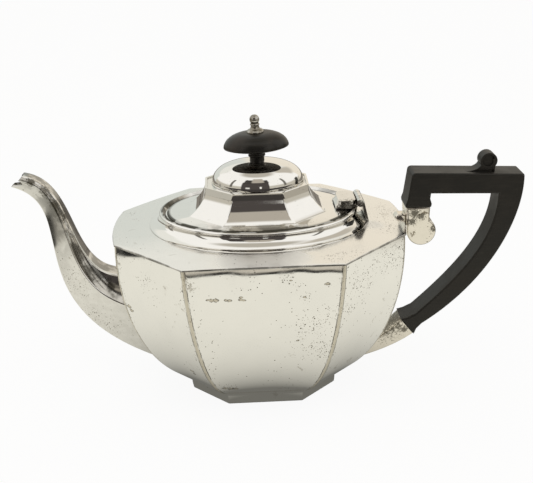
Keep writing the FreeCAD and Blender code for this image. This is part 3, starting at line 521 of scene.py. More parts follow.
def strainer_tree():
    """Drills in rows and columns that pierce the strainer behind the spout."""
    tree = bpy.data.node_groups.new("strainer_drills", "GeometryNodeTree")
    for label, kind, default in (
            ("Radius", "NodeSocketFloat", STRAINER_RADIUS),
            ("Pitch", "NodeSocketFloat", STRAINER_PITCH),
            ("Columns", "NodeSocketInt", STRAINER_COLUMNS),
            ("Rows", "NodeSocketInt", STRAINER_ROWS),
            ("Depth", "NodeSocketFloat", FULL_HALF_LENGTH / 2)):
        tree.interface.new_socket(label, in_out="INPUT", socket_type=kind).default_value = default
    tree.interface.new_socket("Geometry", in_out="OUTPUT", socket_type="NodeSocketGeometry")
    given = tree.nodes.new("NodeGroupInput").outputs

    def spread(count):
        return maths(tree, "MULTIPLY", given["Pitch"], maths(tree, "SUBTRACT", count, 1.0))

    grid = node_in(tree, "GeometryNodeMeshGrid", {
        "Size X": spread(given["Rows"]), "Size Y": spread(given["Columns"]),
        "Vertices X": given["Rows"], "Vertices Y": given["Columns"]})
    drill = node_in(tree, "GeometryNodeMeshCylinder", {
        "Vertices": STRAINER_SIDES, "Radius": given["Radius"], "Depth": given["Depth"]})
    copies = node_in(tree, "GeometryNodeInstanceOnPoints", {
        "Points": grid.outputs["Mesh"], "Instance": drill.outputs["Mesh"]})
    turned = node_in(tree, "GeometryNodeTransform", {
        "Geometry": copies.outputs["Instances"], "Rotation": (0.0, math.radians(90), 0.0),
        "Translation": (-FULL_HALF_LENGTH, 0.0, STRAINER_Z)})
    real = node_in(tree, "GeometryNodeRealizeInstances", {"Geometry": turned.outputs["Geometry"]})
    finish = node_in(tree, "GeometryNodeSetMaterial", {
        "Geometry": real.outputs["Geometry"], "Material": inner_silver})
    node_in(tree, "NodeGroupOutput", {"Geometry": finish.outputs["Geometry"]})
    return tree


def cut_away(piece, cutter):
    """Cut one closed mesh out of a piece."""
    cut = piece.modifiers.new("cut", "BOOLEAN")
    cut.operation = "DIFFERENCE"
    cut.solver = "EXACT"
    cut.object = cutter
    settle(piece)


drills = as_object(bpy.data.meshes.new("strainer_drills"))
drills.modifiers.new("drills", "NODES").node_group = strainer_tree()
settle(drills)
cut_away(body, drills)
bpy.data.objects.remove(drills)
BODY_STAINS = [
    (-0.0294, -0.0645, 0.0819, 0.0014), (-0.0275, -0.0645, 0.0816, 0.0023),
    (-0.0254, -0.0645, 0.0816, 0.0025), (-0.0200, -0.0645, 0.0814, 0.0015),
    (-0.0182, -0.0645, 0.0811, 0.0017), (-0.0121, -0.0645, 0.0826, 0.0014),
    (-0.0124, -0.0645, 0.0813, 0.0019), (-0.0107, -0.0645, 0.0809, 0.0014), (0.0325, -0.0646, 0.0884, 0.0019),
    (-0.0122, -0.0590, 0.0372, 0.0011), (-0.0129, -0.0585, 0.0358, 0.0012),
    (-0.0138, -0.0579, 0.0343, 0.0011), (-0.0228, -0.0475, 0.0190, 0.0024),
    (-0.0198, -0.0472, 0.0181, 0.0026), (-0.0168, -0.0470, 0.0177, 0.0020),
    (-0.0410, -0.0448, 0.0290, 0.0021), (-0.0395, -0.0440, 0.0268, 0.0020),
    (-0.0745, -0.0275, 0.0622, 0.0025), (-0.0735, -0.0284, 0.0600, 0.0024), (0.0135, -0.0646, 0.0912, 0.0011),
    (0.0207, -0.0646, 0.0813, 0.0012), (0.0172, -0.0620, 0.0545, 0.0014),
]
BODY_PITTED = [
    (0.0119, -0.0646, 0.0935, 0.0050), (0.0165, -0.0646, 0.0871, 0.0045), (0.0211, -0.0646, 0.0811, 0.0040),
    (0.0248, -0.0640, 0.0640, 0.0110), (0.0185, -0.0625, 0.0530, 0.0060), (0.0293, -0.0610, 0.0469, 0.0120),
    (0.0700, -0.0361, 0.0899, 0.0130), (0.0603, -0.0457, 0.0892, 0.0070), (0.0767, -0.0295, 0.0916, 0.0070),
    (-0.0211, -0.0475, 0.0200, 0.0060), (-0.0620, -0.0430, 0.0840, 0.0070), (0.0360, -0.0630, 0.0720, 0.0080),
    (0.0500, -0.0565, 0.0850, 0.0100), (0.0560, -0.0505, 0.0830, 0.0090), (0.0460, -0.0600, 0.0720, 0.0080),
]
body_silver = silver("body_silver", pits=1.0, stains=0.5, haze=0.35, waves=0.16, edge_width=0.0004,
                     stain_spots=BODY_STAINS, pit_spots=BODY_PITTED)
place(body, "pot", "body_shell", body_silver)


# Shoulder
# One nearly flat sheet over the body, cut to the same eight sides and soldered round its edge.
# The lid seat is a wide oval hole in it; the edge is filed round where the panels meet it.

SHOULDER_OVERHANG = 0.0003
SHOULDER_EDGE = 0.0004
SHOULDER_SWELL = 0.0026
SWELL_POWER = 2.5
SWELL_ROWS = 12
SEAT_HALF_LENGTH, SEAT_HALF_WIDTH = 0.0529, 0.0382


def oval_ring(half_length, half_width, z, like):
    """An oval whose points face those of another ring."""
    ring = []
    for point, distance in like:
        angle = math.atan2(point.y / half_width, point.x / half_length)
        ring.append((Vector((half_length * math.cos(angle), half_width * math.sin(angle), z)), distance))
    return ring


def shoulder_outline(spread, z):
    side = spread * OCTAGON_EDGE
    return octagon_ring(
        FULL_HALF_LENGTH + spread, FULL_HALF_WIDTH + spread,
        TOP_FRONT_HALF + side, TOP_END_HALF + side, z, BODY_EASE, END_BOW)


def dished(ring):
    """Raise a ring to the plate's upper face, which swells a little towards the lid seat."""
    raised = []
    for point, distance in ring:
        along = abs(point.x) / FULL_HALF_LENGTH
        across = abs(point.y) / FULL_HALF_WIDTH
        out = (along ** SWELL_POWER + across ** SWELL_POWER) ** (2.0 / SWELL_POWER)
        raised.append((point + Vector((0.0, 0.0, SHOULDER_SWELL * (1.0 - out))), distance))
    return raised


def marked(ring, value):
    return [(point, value) for point, distance in ring]


def between(first, second, share):
    return [(start.lerp(end, share), distance) for (start, distance), (end, _) in zip(first, second)]


plate_edge = shoulder_outline(SHOULDER_OVERHANG, SHELL_TOP_Z)
plate_rim = dished(shoulder_outline(SHOULDER_OVERHANG, SHOULDER_Z - SHOULDER_EDGE))
plate_turn = dished(shoulder_outline(SHOULDER_OVERHANG - SHOULDER_EDGE / 3, SHOULDER_Z - SHOULDER_EDGE / 3))
plate_top = shoulder_outline(SHOULDER_OVERHANG - SHOULDER_EDGE, SHOULDER_Z)
plate_seat = oval_ring(SEAT_HALF_LENGTH, SEAT_HALF_WIDTH, SHOULDER_Z, plate_edge)
plate_rows = [dished(between(plate_top, plate_seat, share)) for share in shares(SWELL_ROWS)]
plate_rows.append(oval_ring(SEAT_HALF_LENGTH, SEAT_HALF_WIDTH, SHELL_TOP_Z, plate_edge))
# The rim's three rings are marked for darkening along the shoulder's edge
darkened_rim = [marked(ring, 1.0) for ring in (plate_edge, plate_rim, plate_turn)]
shoulder = loft("shoulder", darkened_rim + [marked(ring, 0.0) for ring in plate_rows], carries="hollow")
SHOULDER_PITTED = [
    (0.0720, 0.0060, 0.0995, 0.0150), (0.0680, -0.0170, 0.0995, 0.0120), (-0.0765, 0.0197, 0.0995, 0.0050),
    (0.0380, -0.0560, 0.0995, 0.0080),
]
SHOULDER_RUBBED = [
    (-0.0140, -0.0575, 0.1000, 0.0120), (0.0000, -0.0575, 0.1000, 0.0130), (0.0140, -0.0575, 0.1000, 0.0120),
    (0.0630, -0.0140, 0.1000, 0.0090),
]
shoulder_silver = silver("shoulder_silver", pits=0.8, stains=0.2, haze=0.6, satin=0.08, hollow=0.6,
                         pit_spots=SHOULDER_PITTED, rubbed_spots=SHOULDER_RUBBED)
place(shoulder, "pot", "shoulder_plate", shoulder_silver)


# Collar
# A drawn oval moulding soldered on the shoulder round the lid seat.
# It rises in a cove from a low step to a beaded rim that hides the edge of the lid.

COLLAR_HALF_LENGTH, COLLAR_HALF_WIDTH = 0.0621, 0.0502
RIM_HALF_LENGTH, RIM_HALF_WIDTH = 0.0565, 0.0418
RIM_Z = 0.1088
RIM_BEAD = 0.0024
RIM_FALL = 0.0012
RIM_DIP = 0.0014
RIM_UNSHADED = 0.84
GAP_FADE = 40.0
GAP_LEAST, GAP_MIDDLE, GAP_MOST = 0.2, 1.5, 3.0
NECK_INSET = 0.0007
COLLAR_STEP = 0.0015
OVAL_STEPS = 176
COVE_STEPS, BEAD_STEPS = 20, 14
oval_angles = [2 * math.pi * step / OVAL_STEPS for step in range(OVAL_STEPS)]
around_oval = [Vector((math.cos(angle), math.sin(angle))) for angle in oval_angles]


def oval(half_length, half_width, z):
    return [(Vector((point.x * half_length, point.y * half_width, z)), 0.0) for point in around_oval]


def gap_shade(ring, share):
    """Mark the painted shade in the gap round the lid, which is thick in front and thins out towards the
    back.
    """
    in_shade = []
    for point, distance in ring:
        depth = min(GAP_MOST, max(GAP_LEAST, GAP_MIDDLE - point.y * GAP_FADE))
        in_shade.append((point, share * depth))
    return in_shade


def collar_rings():
    neck_length = RIM_HALF_LENGTH - NECK_INSET
    neck_width = RIM_HALF_WIDTH - NECK_INSET
    low = SHOULDER_Z + COLLAR_STEP
    high = RIM_Z - RIM_BEAD
    rings = [oval(COLLAR_HALF_LENGTH, COLLAR_HALF_WIDTH, SHOULDER_Z)]
    for share in shares(COVE_STEPS):
        angle = math.pi / 2 * share
        inward = math.sin(angle)
        rings.append(oval(
            COLLAR_HALF_LENGTH + (neck_length - COLLAR_HALF_LENGTH) * inward,
            COLLAR_HALF_WIDTH + (neck_width - COLLAR_HALF_WIDTH) * inward,
            low + (high - low) * (1 - math.cos(angle))))
    for share in shares(BEAD_STEPS)[1:]:
        angle = math.pi * share
        turned = (1 - math.cos(angle)) / 2
        out = NECK_INSET * (math.sin(angle) - 1) - RIM_FALL * turned ** 4
        # The inner half of the bead takes the gap's painted shade
        in_shade = max(0.0, (turned - RIM_UNSHADED) / (1.0 - RIM_UNSHADED))
        rings.append(gap_shade(
            oval(RIM_HALF_LENGTH + out, RIM_HALF_WIDTH + out, high + RIM_BEAD * turned), in_shade))
    rings.append(gap_shade(oval(SEAT_HALF_LENGTH, SEAT_HALF_WIDTH, RIM_Z - RIM_DIP), 1.0))
    rings.append(gap_shade(oval(SEAT_HALF_LENGTH, SEAT_HALF_WIDTH, SHOULDER_Z), 1.0))
    return rings


collar = loft("collar", collar_rings(), carries="hollow")
collar_silver = silver("collar_silver", pits=0.25, stains=0.1, haze=0.25, hollow=0.95)
place(collar, "pot", "collar_moulding", collar_silver)


# Lid bearer
# A flat oval ring soldered inside the rim, a little below its top.
# The closed lid rests on it, and its inner edge is the mouth of the pot.

BEARER_WIDTH = 0.0044


def oval_band(name, half_length, half_width, width, low, high):
    return loft(name, [
        oval(half_length, half_width, low),
        oval(half_length, half_width, high),
        oval(half_length - width, half_width - width, high),
        oval(half_length - width, half_width - width, low)])


bearer_low, bearer_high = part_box("lid_bearer")
bearer = oval_band("bearer", SEAT_HALF_LENGTH, SEAT_HALF_WIDTH, BEARER_WIDTH, bearer_low.z, bearer_high.z)
place(bearer, "pot", "lid_bearer", inner_silver)


# Spout
# A six-sided swan neck raised in two halves, seamed, and soldered over the strainer.
# Its top is narrow, its upper sides are fluted down to a ridge, and the mouth is cut back to a pouring lip.

SPOUT_TOP = [(-0.0760, 0.0722), (-0.1130, 0.0690), (-0.0990, 0.1270), (-0.1300, 0.1329)]
SPOUT_KEEL = [(-0.0570, 0.0140), (-0.1500, 0.0520), (-0.0960, 0.1130), (-0.1373, 0.1263)]
ROOT_TOP_HALF, TIP_TOP_HALF = 0.0066, 0.0036
ROOT_RIDGE_HALF, TIP_RIDGE_HALF = 0.0170, 0.0066
ROOT_KEEL_HALF, TIP_KEEL_HALF = 0.0050, 0.0022
ROOT_RIDGE_AT, TIP_RIDGE_AT = 0.30, 0.16
SPOUT_TAPER = 1.6
SPOUT_EASE = 0.0009
SPOUT_ROWS = 72
FLUTE_SHARE, FLUTE_DEPTH = 0.07, 0.0012
NECK_LOW, NECK_FADE = 0.36, 0.35
# Painted shadow with tarnish up the neck, painted dark reflection in the flutes and along the top, and
# darkening in the bore
NECK_SHADE_AND_TARNISH, NECK_THIN, NECK_LINE = 0.90, 0.6, 1.3
FLUTE_DARK_REFLECTION, TOP_DARK_REFLECTION, BORE_DARKENING = 1.0, 0.8, 2.0
LIP_START = 0.86
LIP_CUT = Vector((0.0035, 0.0, -0.0010))


def curve_point(corners, t):
    """A point in the middle plane, on the cubic curve with these four corners."""
    first, second, third, fourth = [Vector((x, 0.0, z)) for x, z in corners]
    s = 1.0 - t
    return first * s ** 3 + second * (3 * s * s * t) + third * (3 * s * t * t) + fourth * t ** 3


def flute(edge, ridge):
    """The hollow of an upper side, from the edge of the narrow top to the ridge."""
    chord = ridge - edge
    inward = Vector((0.0, -edge.y, 0.0))
    inward -= chord * (inward.dot(chord) / chord.length_squared)
    return inward.normalized() * min(chord.length * FLUTE_SHARE, FLUTE_DEPTH)


def spout_shade_and_tarnish(index, t):
    """How black a point of the spout's outline is painted: wholly in the two flutes and mostly along the top,
    where the black is painted dark reflection, and up the neck along the two ridges and the sides below them,
    where it is painted shadow under the ridges together with tarnish."""
    side, step = divmod(index, EASE_STEPS + SIDE_STEPS - 1)
    neck = min(1.0, max(0.0, (t - NECK_LOW) / NECK_FADE))
    down = (step - EASE_STEPS) / SIDE_STEPS
    if side in (0, 4) and down >= 0:
        return FLUTE_DARK_REFLECTION
    if side in (1, 4) and down < 0:
        return NECK_LINE * neck
    if side == 1:
        return NECK_SHADE_AND_TARNISH * neck * (1.0 - NECK_THIN * down)
    if side == 3 and down >= 0:
        return NECK_SHADE_AND_TARNISH * neck * (1.0 - NECK_THIN * (1.0 - down))
    return TOP_DARK_REFLECTION if side == 5 else 0.0


def spout_ring(t, inset):
    taper = (1.0 - t) ** SPOUT_TAPER
    near_mouth = max(0.0, (t - LIP_START) / (1.0 - LIP_START))
    cut_back = LIP_CUT * near_mouth ** 2 * (3 - 2 * near_mouth)

    def tapered(root, tip):
        return tip + (root - tip) * taper

    top = curve_point(SPOUT_TOP, t)
    keel = curve_point(SPOUT_KEEL, t)
    down = (keel - top).normalized()
    top = top + down * inset
    keel = keel - down * inset
    ridge = top.lerp(keel, tapered(ROOT_RIDGE_AT, TIP_RIDGE_AT))
    top_side = Vector((0, tapered(ROOT_TOP_HALF, TIP_TOP_HALF) - inset / 2, 0))
    ridge_side = Vector((0, tapered(ROOT_RIDGE_HALF, TIP_RIDGE_HALF) - inset, 0))
    keel_side = Vector((0, tapered(ROOT_KEEL_HALF, TIP_KEEL_HALF) - inset / 2, 0))
    corners = [top - top_side, ridge - ridge_side, keel - keel_side,
               keel + keel_side, ridge + ridge_side, top + top_side]
    near_flute = flute(corners[0], corners[1])
    far_flute = flute(corners[5], corners[4])
    ring = eased_ring(corners, SPOUT_EASE, [near_flute, cut_back, None, cut_back, far_flute, None])
    # The bore is darkened all through
    if inset:
        return marked(ring, BORE_DARKENING)
    return [(point, spout_shade_and_tarnish(index, t)) for index, (point, distance) in enumerate(ring)]


def spout_rings(inset):
    return [spout_ring(t, inset) for t in shares(SPOUT_ROWS)]


body_core = loft("body_core", outer_skin, wrap=False)
spout = loft("spout_neck", spout_rings(0.0) + spout_rings(SHEET)[::-1], carries="hollow")
cut_away(spout, body_core)
SPOUT_TARNISHED = [
    (-0.1254, -0.0056, 0.1304, 0.0036), (-0.1178, -0.0055, 0.1248, 0.0046),
    (-0.1091, -0.0049, 0.1094, 0.0040), (-0.1130, -0.0060, 0.1170, 0.0042),
]
SPOUT_PITTED = [
    (-0.0976, -0.0064, 0.0469, 0.0110), (-0.0924, -0.0060, 0.0398, 0.0110),
    (-0.1050, -0.0060, 0.0700, 0.0120),
]
spout_silver = silver("spout_silver", pits=0.9, stains=0.5, haze=0.45, tarnish=0.2, hollow=0.85,
                      pit_spots=SPOUT_PITTED, dark_spots=SPOUT_TARNISHED)
place(spout, "pot", "spout", spout_silver)


# Handle sockets
# Two cast silver sockets hold the handle clear of the hot body: a cup with a round heel on a short
# bracket above, and a tapered horn below. Both are duller and more pitted than the body.

SOCKET_HALF = 0.0076
SOCKET_EASE = 0.0011
SEAT_Z = 0.1070
CUP_LEFT, CUP_RIGHT = 0.0837, 0.0975
CUP_DRAFT = 0.0005
HEEL_X, HEEL_Z = 0.0930, 0.0920
HEEL_RADIUS = 0.0083
HEEL_STEPS = 40
BEVEL_STEPS = 4


def slab(name, outline, half, ease):
    """A flat piece cut to an outline in the middle plane, with both faces eased at their edges."""
    work = bmesh.new()
    near = [work.verts.new((x, -half, z)) for x, z in outline]
    far = [work.verts.new((x, half, z)) for x, z in outline]
    faces = [work.faces.new(near), work.faces.new(list(reversed(far)))]
    for index in range(len(outline)):
        following = (index + 1) % len(outline)
        work.faces.new((near[following], near[index], far[index], far[following]))
    bmesh.ops.recalc_face_normals(work, faces=work.faces)
    rims = [edge for face in faces for edge in face.edges]
    bmesh.ops.bevel(
        work, geom=rims, offset=ease, segments=BEVEL_STEPS, profile=0.5, affect="EDGES", clamp_overlap=True)
    mesh = bpy.data.meshes.new(name)
    work.to_mesh(mesh)
    work.free()
    return as_object(mesh)


def cup_outline():
    right = CUP_RIGHT - CUP_DRAFT / 2
    start = math.acos((right - HEEL_X) / HEEL_RADIUS)
    points = [(CUP_LEFT, SEAT_Z), (CUP_RIGHT, SEAT_Z)]
    for share in shares(HEEL_STEPS):
        angle = start - (start + math.pi) * share
        points.append((HEEL_X + HEEL_RADIUS * math.cos(angle), HEEL_Z + HEEL_RADIUS * math.sin(angle)))
    return points


upper_socket = slab("upper_cup", cup_outline(), SOCKET_HALF, SOCKET_EASE)
SOCKET_TARNISHED = [
    (0.0885, -0.0080, 0.1035, 0.0045), (0.0870, -0.0080, 0.0985, 0.0035), (0.0925, -0.0080, 0.1015, 0.0030),
    (0.0995, -0.0080, 0.0935, 0.0030), (0.0820, 0.0010, 0.0355, 0.0108), (0.0785, 0.0000, 0.0325, 0.0108),
    (0.0745, 0.0000, 0.0285, 0.0108), (0.0815, -0.0075, 0.0312, 0.0036), (0.0848, -0.0075, 0.0296, 0.0030),
    (0.0782, -0.0073, 0.0297, 0.0026),
]
socket_silver = silver("socket_silver", pits=1.0, stains=1.0, haze=1.3, tarnish=0.1,
                       tint=(1.0, 0.955, 0.885, 1.0), dark_spots=SOCKET_TARNISHED)
place(upper_socket, "pot", "upper_socket", socket_silver)

HORN_TOP = [(0.0832, 0.0356), (0.0760, 0.0290), (0.0660, 0.0185), (0.0520, 0.0165)]
HORN_KEEL = [(0.0904, 0.0265), (0.0800, 0.0186), (0.0640, 0.0120), (0.0480, 0.0095)]
HORN_ROOT_HALF = 0.0064
HORN_ROWS = 28


def horn_ring(t):
    side = Vector((0, SOCKET_HALF + (HORN_ROOT_HALF - SOCKET_HALF) * t, 0))
    top = curve_point(HORN_TOP, t)
    keel = curve_point(HORN_KEEL, t)
    return eased_ring([top - side, keel - side, keel + side, top + side], SOCKET_EASE)


lower_socket = loft("lower_horn", [horn_ring(t) for t in shares(HORN_ROWS)], wrap=False)
cut_away(lower_socket, body_core)
place(lower_socket, "pot", "lower_socket", socket_silver)
bpy.data.objects.remove(body_core)

RIVET_EASE = 0.0003
RIVET_FILED = 0.955
CORNER_STEPS = 6
SAME_POINT = 0.000001
FLAT_WITHIN = math.radians(0.5)
COPY_BEVEL_STEPS = 3
BRACKET_LEFT, BRACKET_RIGHT = 0.0778, 0.0848
BRACKET_LOW_Z, BRACKET_HIGH_Z = 0.0945, 0.1018
BRACKET_HALF = 0.0036
BRACKET_ROUND = 0.0034
BRACKET_EASE = 0.0013


def corner_points(before, corner, after, ease):
    """Round one corner of an outline."""
    corner = Vector(corner)
    start = corner + (Vector(before) - corner).normalized() * ease
    end = corner + (Vector(after) - corner).normalized() * ease
    return [tuple(bend(start, corner, end, t)) for t in shares(CORNER_STEPS)]


def eased_copy(node, name, ease):
    """A copy of a small solid with its triangles joined and its sharp edges eased."""
    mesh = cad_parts[node].data.copy()
    mesh.name = name
    work = bmesh.new()
    work.from_mesh(mesh)
    bmesh.ops.remove_doubles(work, verts=work.verts, dist=SAME_POINT)
    bmesh.ops.dissolve_limit(work, angle_limit=FLAT_WITHIN, verts=work.verts, edges=work.edges)
    work.to_mesh(mesh)
    work.free()
    piece = as_object(mesh)
    bevel = piece.modifiers.new("ease", "BEVEL")
    bevel.width = ease
    bevel.segments = COPY_BEVEL_STEPS
    bevel.limit_method = "ANGLE"
    bevel.angle_limit = SHARP_EDGE
    settle(piece)
    return piece


bracket_foot = (BRACKET_LEFT, BRACKET_LOW_Z)
bracket_end = [(BRACKET_RIGHT, BRACKET_HIGH_Z), (BRACKET_RIGHT, BRACKET_LOW_Z)]
bracket_top = corner_points(bracket_foot, (BRACKET_LEFT, BRACKET_HIGH_Z), bracket_end[0], BRACKET_ROUND)
bracket = slab("bracket", [bracket_foot] + bracket_top + bracket_end, BRACKET_HALF, BRACKET_EASE)
place(bracket, "pot", "socket_bracket", socket_silver)
for node, name in (("upper_handle_pin", "upper_rivet"), ("lower_handle_pin", "lower_rivet")):
    rivet = eased_copy(node, name, RIVET_EASE)
    rivet.data.transform(Matrix.Diagonal((1.0, RIVET_FILED, 1.0, 1.0)))
    place(rivet, "pot", node, socket_silver)


# Handle
# A squared loop sawn from one thickness of black-stained hardwood, with its edges rubbed round.
# A rolled thumb-rest stands on the bar; both ends swell to a small moulding above the sockets.

HANDLE_HALF = 0.0080
HANDLE_EASE = 0.0011
ARM_STEPS = 36
LEG_SIDE = [(0.0834, 0.1070), (0.0832, 0.1086), (0.0842, 0.1115), (0.0864, 0.1276)]
GRIP_SIDE = [(0.0975, 0.1150), (0.0972, 0.1118), (0.0982, 0.1088), (0.0979, 0.1070)]
ARM_OUTER = [(0.1501, 0.1248), (0.1520, 0.1000), (0.1360, 0.0600), (0.0956, 0.0330)]
ARM_INNER = [(0.0915, 0.0396), (0.1200, 0.0660), (0.1365, 0.0880), (0.1360, 0.1136)]
ARM_FOOT = [(0.0924, 0.0296), (0.0910, 0.0260), (0.0828, 0.0362), (0.0866, 0.0372)]
BAR_Z = 0.1246
LEG_EASE, BAR_EASE = 0.0022, 0.0012


def arm_points(corners):
    points = [curve_point(corners, t) for t in shares(ARM_STEPS)]
    return [(point.x, point.z) for point in points]


arm_outer = arm_points(ARM_OUTER)
leg_corner = corner_points(LEG_SIDE[-2], LEG_SIDE[-1], arm_outer[0], LEG_EASE)
bar_corner = corner_points(LEG_SIDE[-1], arm_outer[0], arm_outer[1], BAR_EASE)
handle = slab(
    "handle_loop",
    LEG_SIDE[:-1] + leg_corner + bar_corner + arm_outer[1:] + ARM_FOOT + arm_points(ARM_INNER) + GRIP_SIDE,
    HANDLE_HALF, HANDLE_EASE)

SCROLL_X, SCROLL_Z = 0.1303, 0.1318
SCROLL_RADIUS = 0.0048
SCROLL_HALF = 0.0040
SCROLL_STRIP = 0.0013
SCROLL_START, SCROLL_TURN = math.radians(-38), math.radians(425)
SCROLL_CURL = 0.0013
CURL_START, CURL_TURN = math.radians(200), math.radians(187)
SCROLL_STEPS = 72
SCROLL_EASE = 0.00035
SCROLL_CORE_RADIUS, SCROLL_CORE_HALF = 0.0035, 0.0030
SCROLL_FOOT_X, SCROLL_HEEL_X = SCROLL_X + SCROLL_RADIUS * 0.72, SCROLL_X + SCROLL_RADIUS * 0.30
RAMP_START, RAMP_BEND = Vector((0.1163, 0.1262)), Vector((0.1245, 0.1264))
RAMP_TOUCH = math.radians(205)
RAMP_STEPS = 8
RAMP_UNDER = (230, 260, 290, 310)
RAMP_UNDER_RADIUS = SCROLL_RADIUS * 0.9


def scroll_point(angle, radius):
    return (SCROLL_X + radius * math.cos(angle), SCROLL_Z + radius * math.sin(angle))


def scroll_outline():
    """A strip that stands up from the bar, rolls over to the left and curls in under itself."""
    outer = [(SCROLL_FOOT_X, BAR_Z)]
    inner = [(SCROLL_HEEL_X, BAR_Z)]
    for share in shares(SCROLL_STEPS):
        angle = SCROLL_START + SCROLL_TURN * share
        curled = max(0.0, angle - CURL_START) / CURL_TURN
        radius = SCROLL_RADIUS - SCROLL_CURL * curled
        outer.append(scroll_point(angle, radius))
        inner.append(scroll_point(angle, radius - SCROLL_STRIP))
    return outer + inner[::-1]


def ramp_outline():
    """The swelling of the bar that carries the roll."""
    touch = Vector(scroll_point(RAMP_TOUCH, SCROLL_RADIUS))
    edge = [tuple(bend(RAMP_START, RAMP_BEND, touch, t)) for t in shares(RAMP_STEPS)]
    under = [scroll_point(math.radians(angle), RAMP_UNDER_RADIUS) for angle in RAMP_UNDER]
    return edge + under + [(SCROLL_FOOT_X, BAR_Z), (RAMP_START.x, BAR_Z)]


def core_outline():
    angles = [2 * math.pi * step / SCROLL_STEPS for step in range(SCROLL_STEPS)]
    return [scroll_point(angle, SCROLL_CORE_RADIUS) for angle in angles]


def join(first, *others):
    """Gather pieces that are cut from one block into one object."""
    work = bmesh.new()
    for piece in (first,) + others:
        work.from_mesh(piece.data)
    work.to_mesh(first.data)
    work.free()
    for piece in others:
        bpy.data.objects.remove(piece)


join(handle,
     slab("scroll_roll", scroll_outline(), SCROLL_HALF, SCROLL_EASE),
     slab("scroll_ramp", ramp_outline(), SCROLL_HALF, SCROLL_EASE),
     slab("scroll_core", core_outline(), SCROLL_CORE_HALF, SCROLL_EASE))
EBONY = (0.0085, 0.0080, 0.0072, 1.0)
EBONY_GRAIN = (0.0150, 0.0135, 0.0115, 1.0)
POLISH_TINT = (1.0, 0.955, 0.88, 1.0)
POLISH_STRENGTH = 0.39
GRAIN_STRETCH = (90.0, 900.0, 900.0)
GRAIN, GRAIN_EDGE = (1.0, 5.0, 0.6), (0.45, 0.7)
HAND_RUBBED, HAND_RUBBED_EDGE = (55.0, 4.0, 0.6), (0.42, 0.72)
RUBBED_SHEEN_SHARE, RUBBED_ROUGH, GRAIN_ROUGH = 0.6, 0.12, 0.08
GRAIN_RELIEF = (0.25, 0.0001)


def ebonised(name, roughness, rubbed_sheen_tone):
    """Black-stained hardwood: fine grain along the cut, and brown where hands have rubbed the polish, a brown
    that also serves as painted sheen.
    """
    material, tree, shader, coords = new_material(name)
    along = node_in(tree, "ShaderNodeMapping", {"Vector": coords, "Scale": GRAIN_STRETCH})
    grain = noise(tree, along.outputs["Vector"], *GRAIN)
    rubbed = ramp(tree, noise(tree, coords, *HAND_RUBBED), *HAND_RUBBED_EDGE)
    tone = blend_colours(tree, ramp(tree, grain, *GRAIN_EDGE), EBONY, EBONY_GRAIN)
    # Brown rubbed patches, which also paint in a brown sheen
    tone = blend_colours(tree, maths(tree, "MULTIPLY", rubbed, RUBBED_SHEEN_SHARE), tone, rubbed_sheen_tone)
    rough = maths(tree, "MULTIPLY_ADD", rubbed, RUBBED_ROUGH, roughness)
    feed(tree, shader, {
        "Specular IOR Level": POLISH_STRENGTH, "Specular Tint": POLISH_TINT, "Base Color": tone,
        "Roughness": maths(tree, "MULTIPLY_ADD", grain, GRAIN_ROUGH, rough),
        "Normal": bumped(tree, grain, *GRAIN_RELIEF)})
    return material


handle_black = ebonised("handle_black", 0.38, (0.019, 0.016, 0.013, 1.0))
place(handle, "pot", "handle", handle_black)


# Hinge
# Five knuckles on one pin: three belong to a wedge-shaped leaf on the collar, two to a stepped leaf on
# the lid. The leaves are cast, filed and soldered on, and the barrel stands just behind the rim.

HINGE_EASE, PIN_EASE = 0.0003, 0.0002
TAB_LEFT, TAB_RIGHT = 0.0445, 0.0548
TAB_HALF = 0.0088
TAB_ROUND = 0.0038
TAB_STEP = 0.0012
TAB_TOP_Z = 0.1130
TAB_LOW_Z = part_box("hinge_lid_leaf")[0].z
# Painted shade with grime along the front edge of the lid leaf's tab and in the space under it
HINGE_SHADE_AND_GRIME = [
    (0.0475, -0.0098, 0.1095, 0.0052), (0.0505, -0.0100, 0.1098, 0.0064), (0.0535, -0.0100, 0.1098, 0.0064),
    (0.0556, -0.0092, 0.1080, 0.0060), (0.0586, -0.0060, 0.1070, 0.0080), (0.0600, -0.0020, 0.1040, 0.0080),
    (0.0600, -0.0085, 0.1045, 0.0065),
]
hinge_silver = silver("hinge_silver", pits=0.6, stains=0.8, haze=0.8, grime_and_shade=0.95, tarnish=0.15,
                      dark_spots=HINGE_SHADE_AND_GRIME)
pot_leaf = eased_copy("hinge_pot_leaf", "pot_leaf", HINGE_EASE)
place(pot_leaf, "pot", "hinge_pot_leaf", hinge_silver)


def tab_ring(spread, z):
    left = TAB_LEFT - spread
    corners = [(left, -TAB_HALF), (TAB_RIGHT, -TAB_HALF), (TAB_RIGHT, TAB_HALF), (left, TAB_HALF)]
    return eased_ring([Vector((x, y, z)) for x, y in corners], TAB_ROUND)


lid_leaf = eased_copy("hinge_lid_leaf", "lid_leaf", HINGE_EASE)
join(lid_leaf, loft("leaf_tab", [
    tab_ring(TAB_STEP, TAB_LOW_Z),
    tab_ring(TAB_STEP, TAB_LOW_Z + TAB_STEP),
    tab_ring(0.0, TAB_LOW_Z + 2 * TAB_STEP),
    tab_ring(0.0, TAB_TOP_Z - HINGE_EASE),
    tab_ring(-HINGE_EASE, TAB_TOP_Z)], wrap=False))
place(lid_leaf, "lid", "hinge_lid_leaf", hinge_silver)
pin = eased_copy("hinge_pin", "pin", PIN_EASE)
place(pin, "pot", "hinge_pin", hinge_silver)


# Lid
# The cover is one sheet: an oval flange that drops into the rim, a waisted octagon rising from it,
# and a low lip that the dome stands in. A bezel under the flange keeps it in place on the bearer.

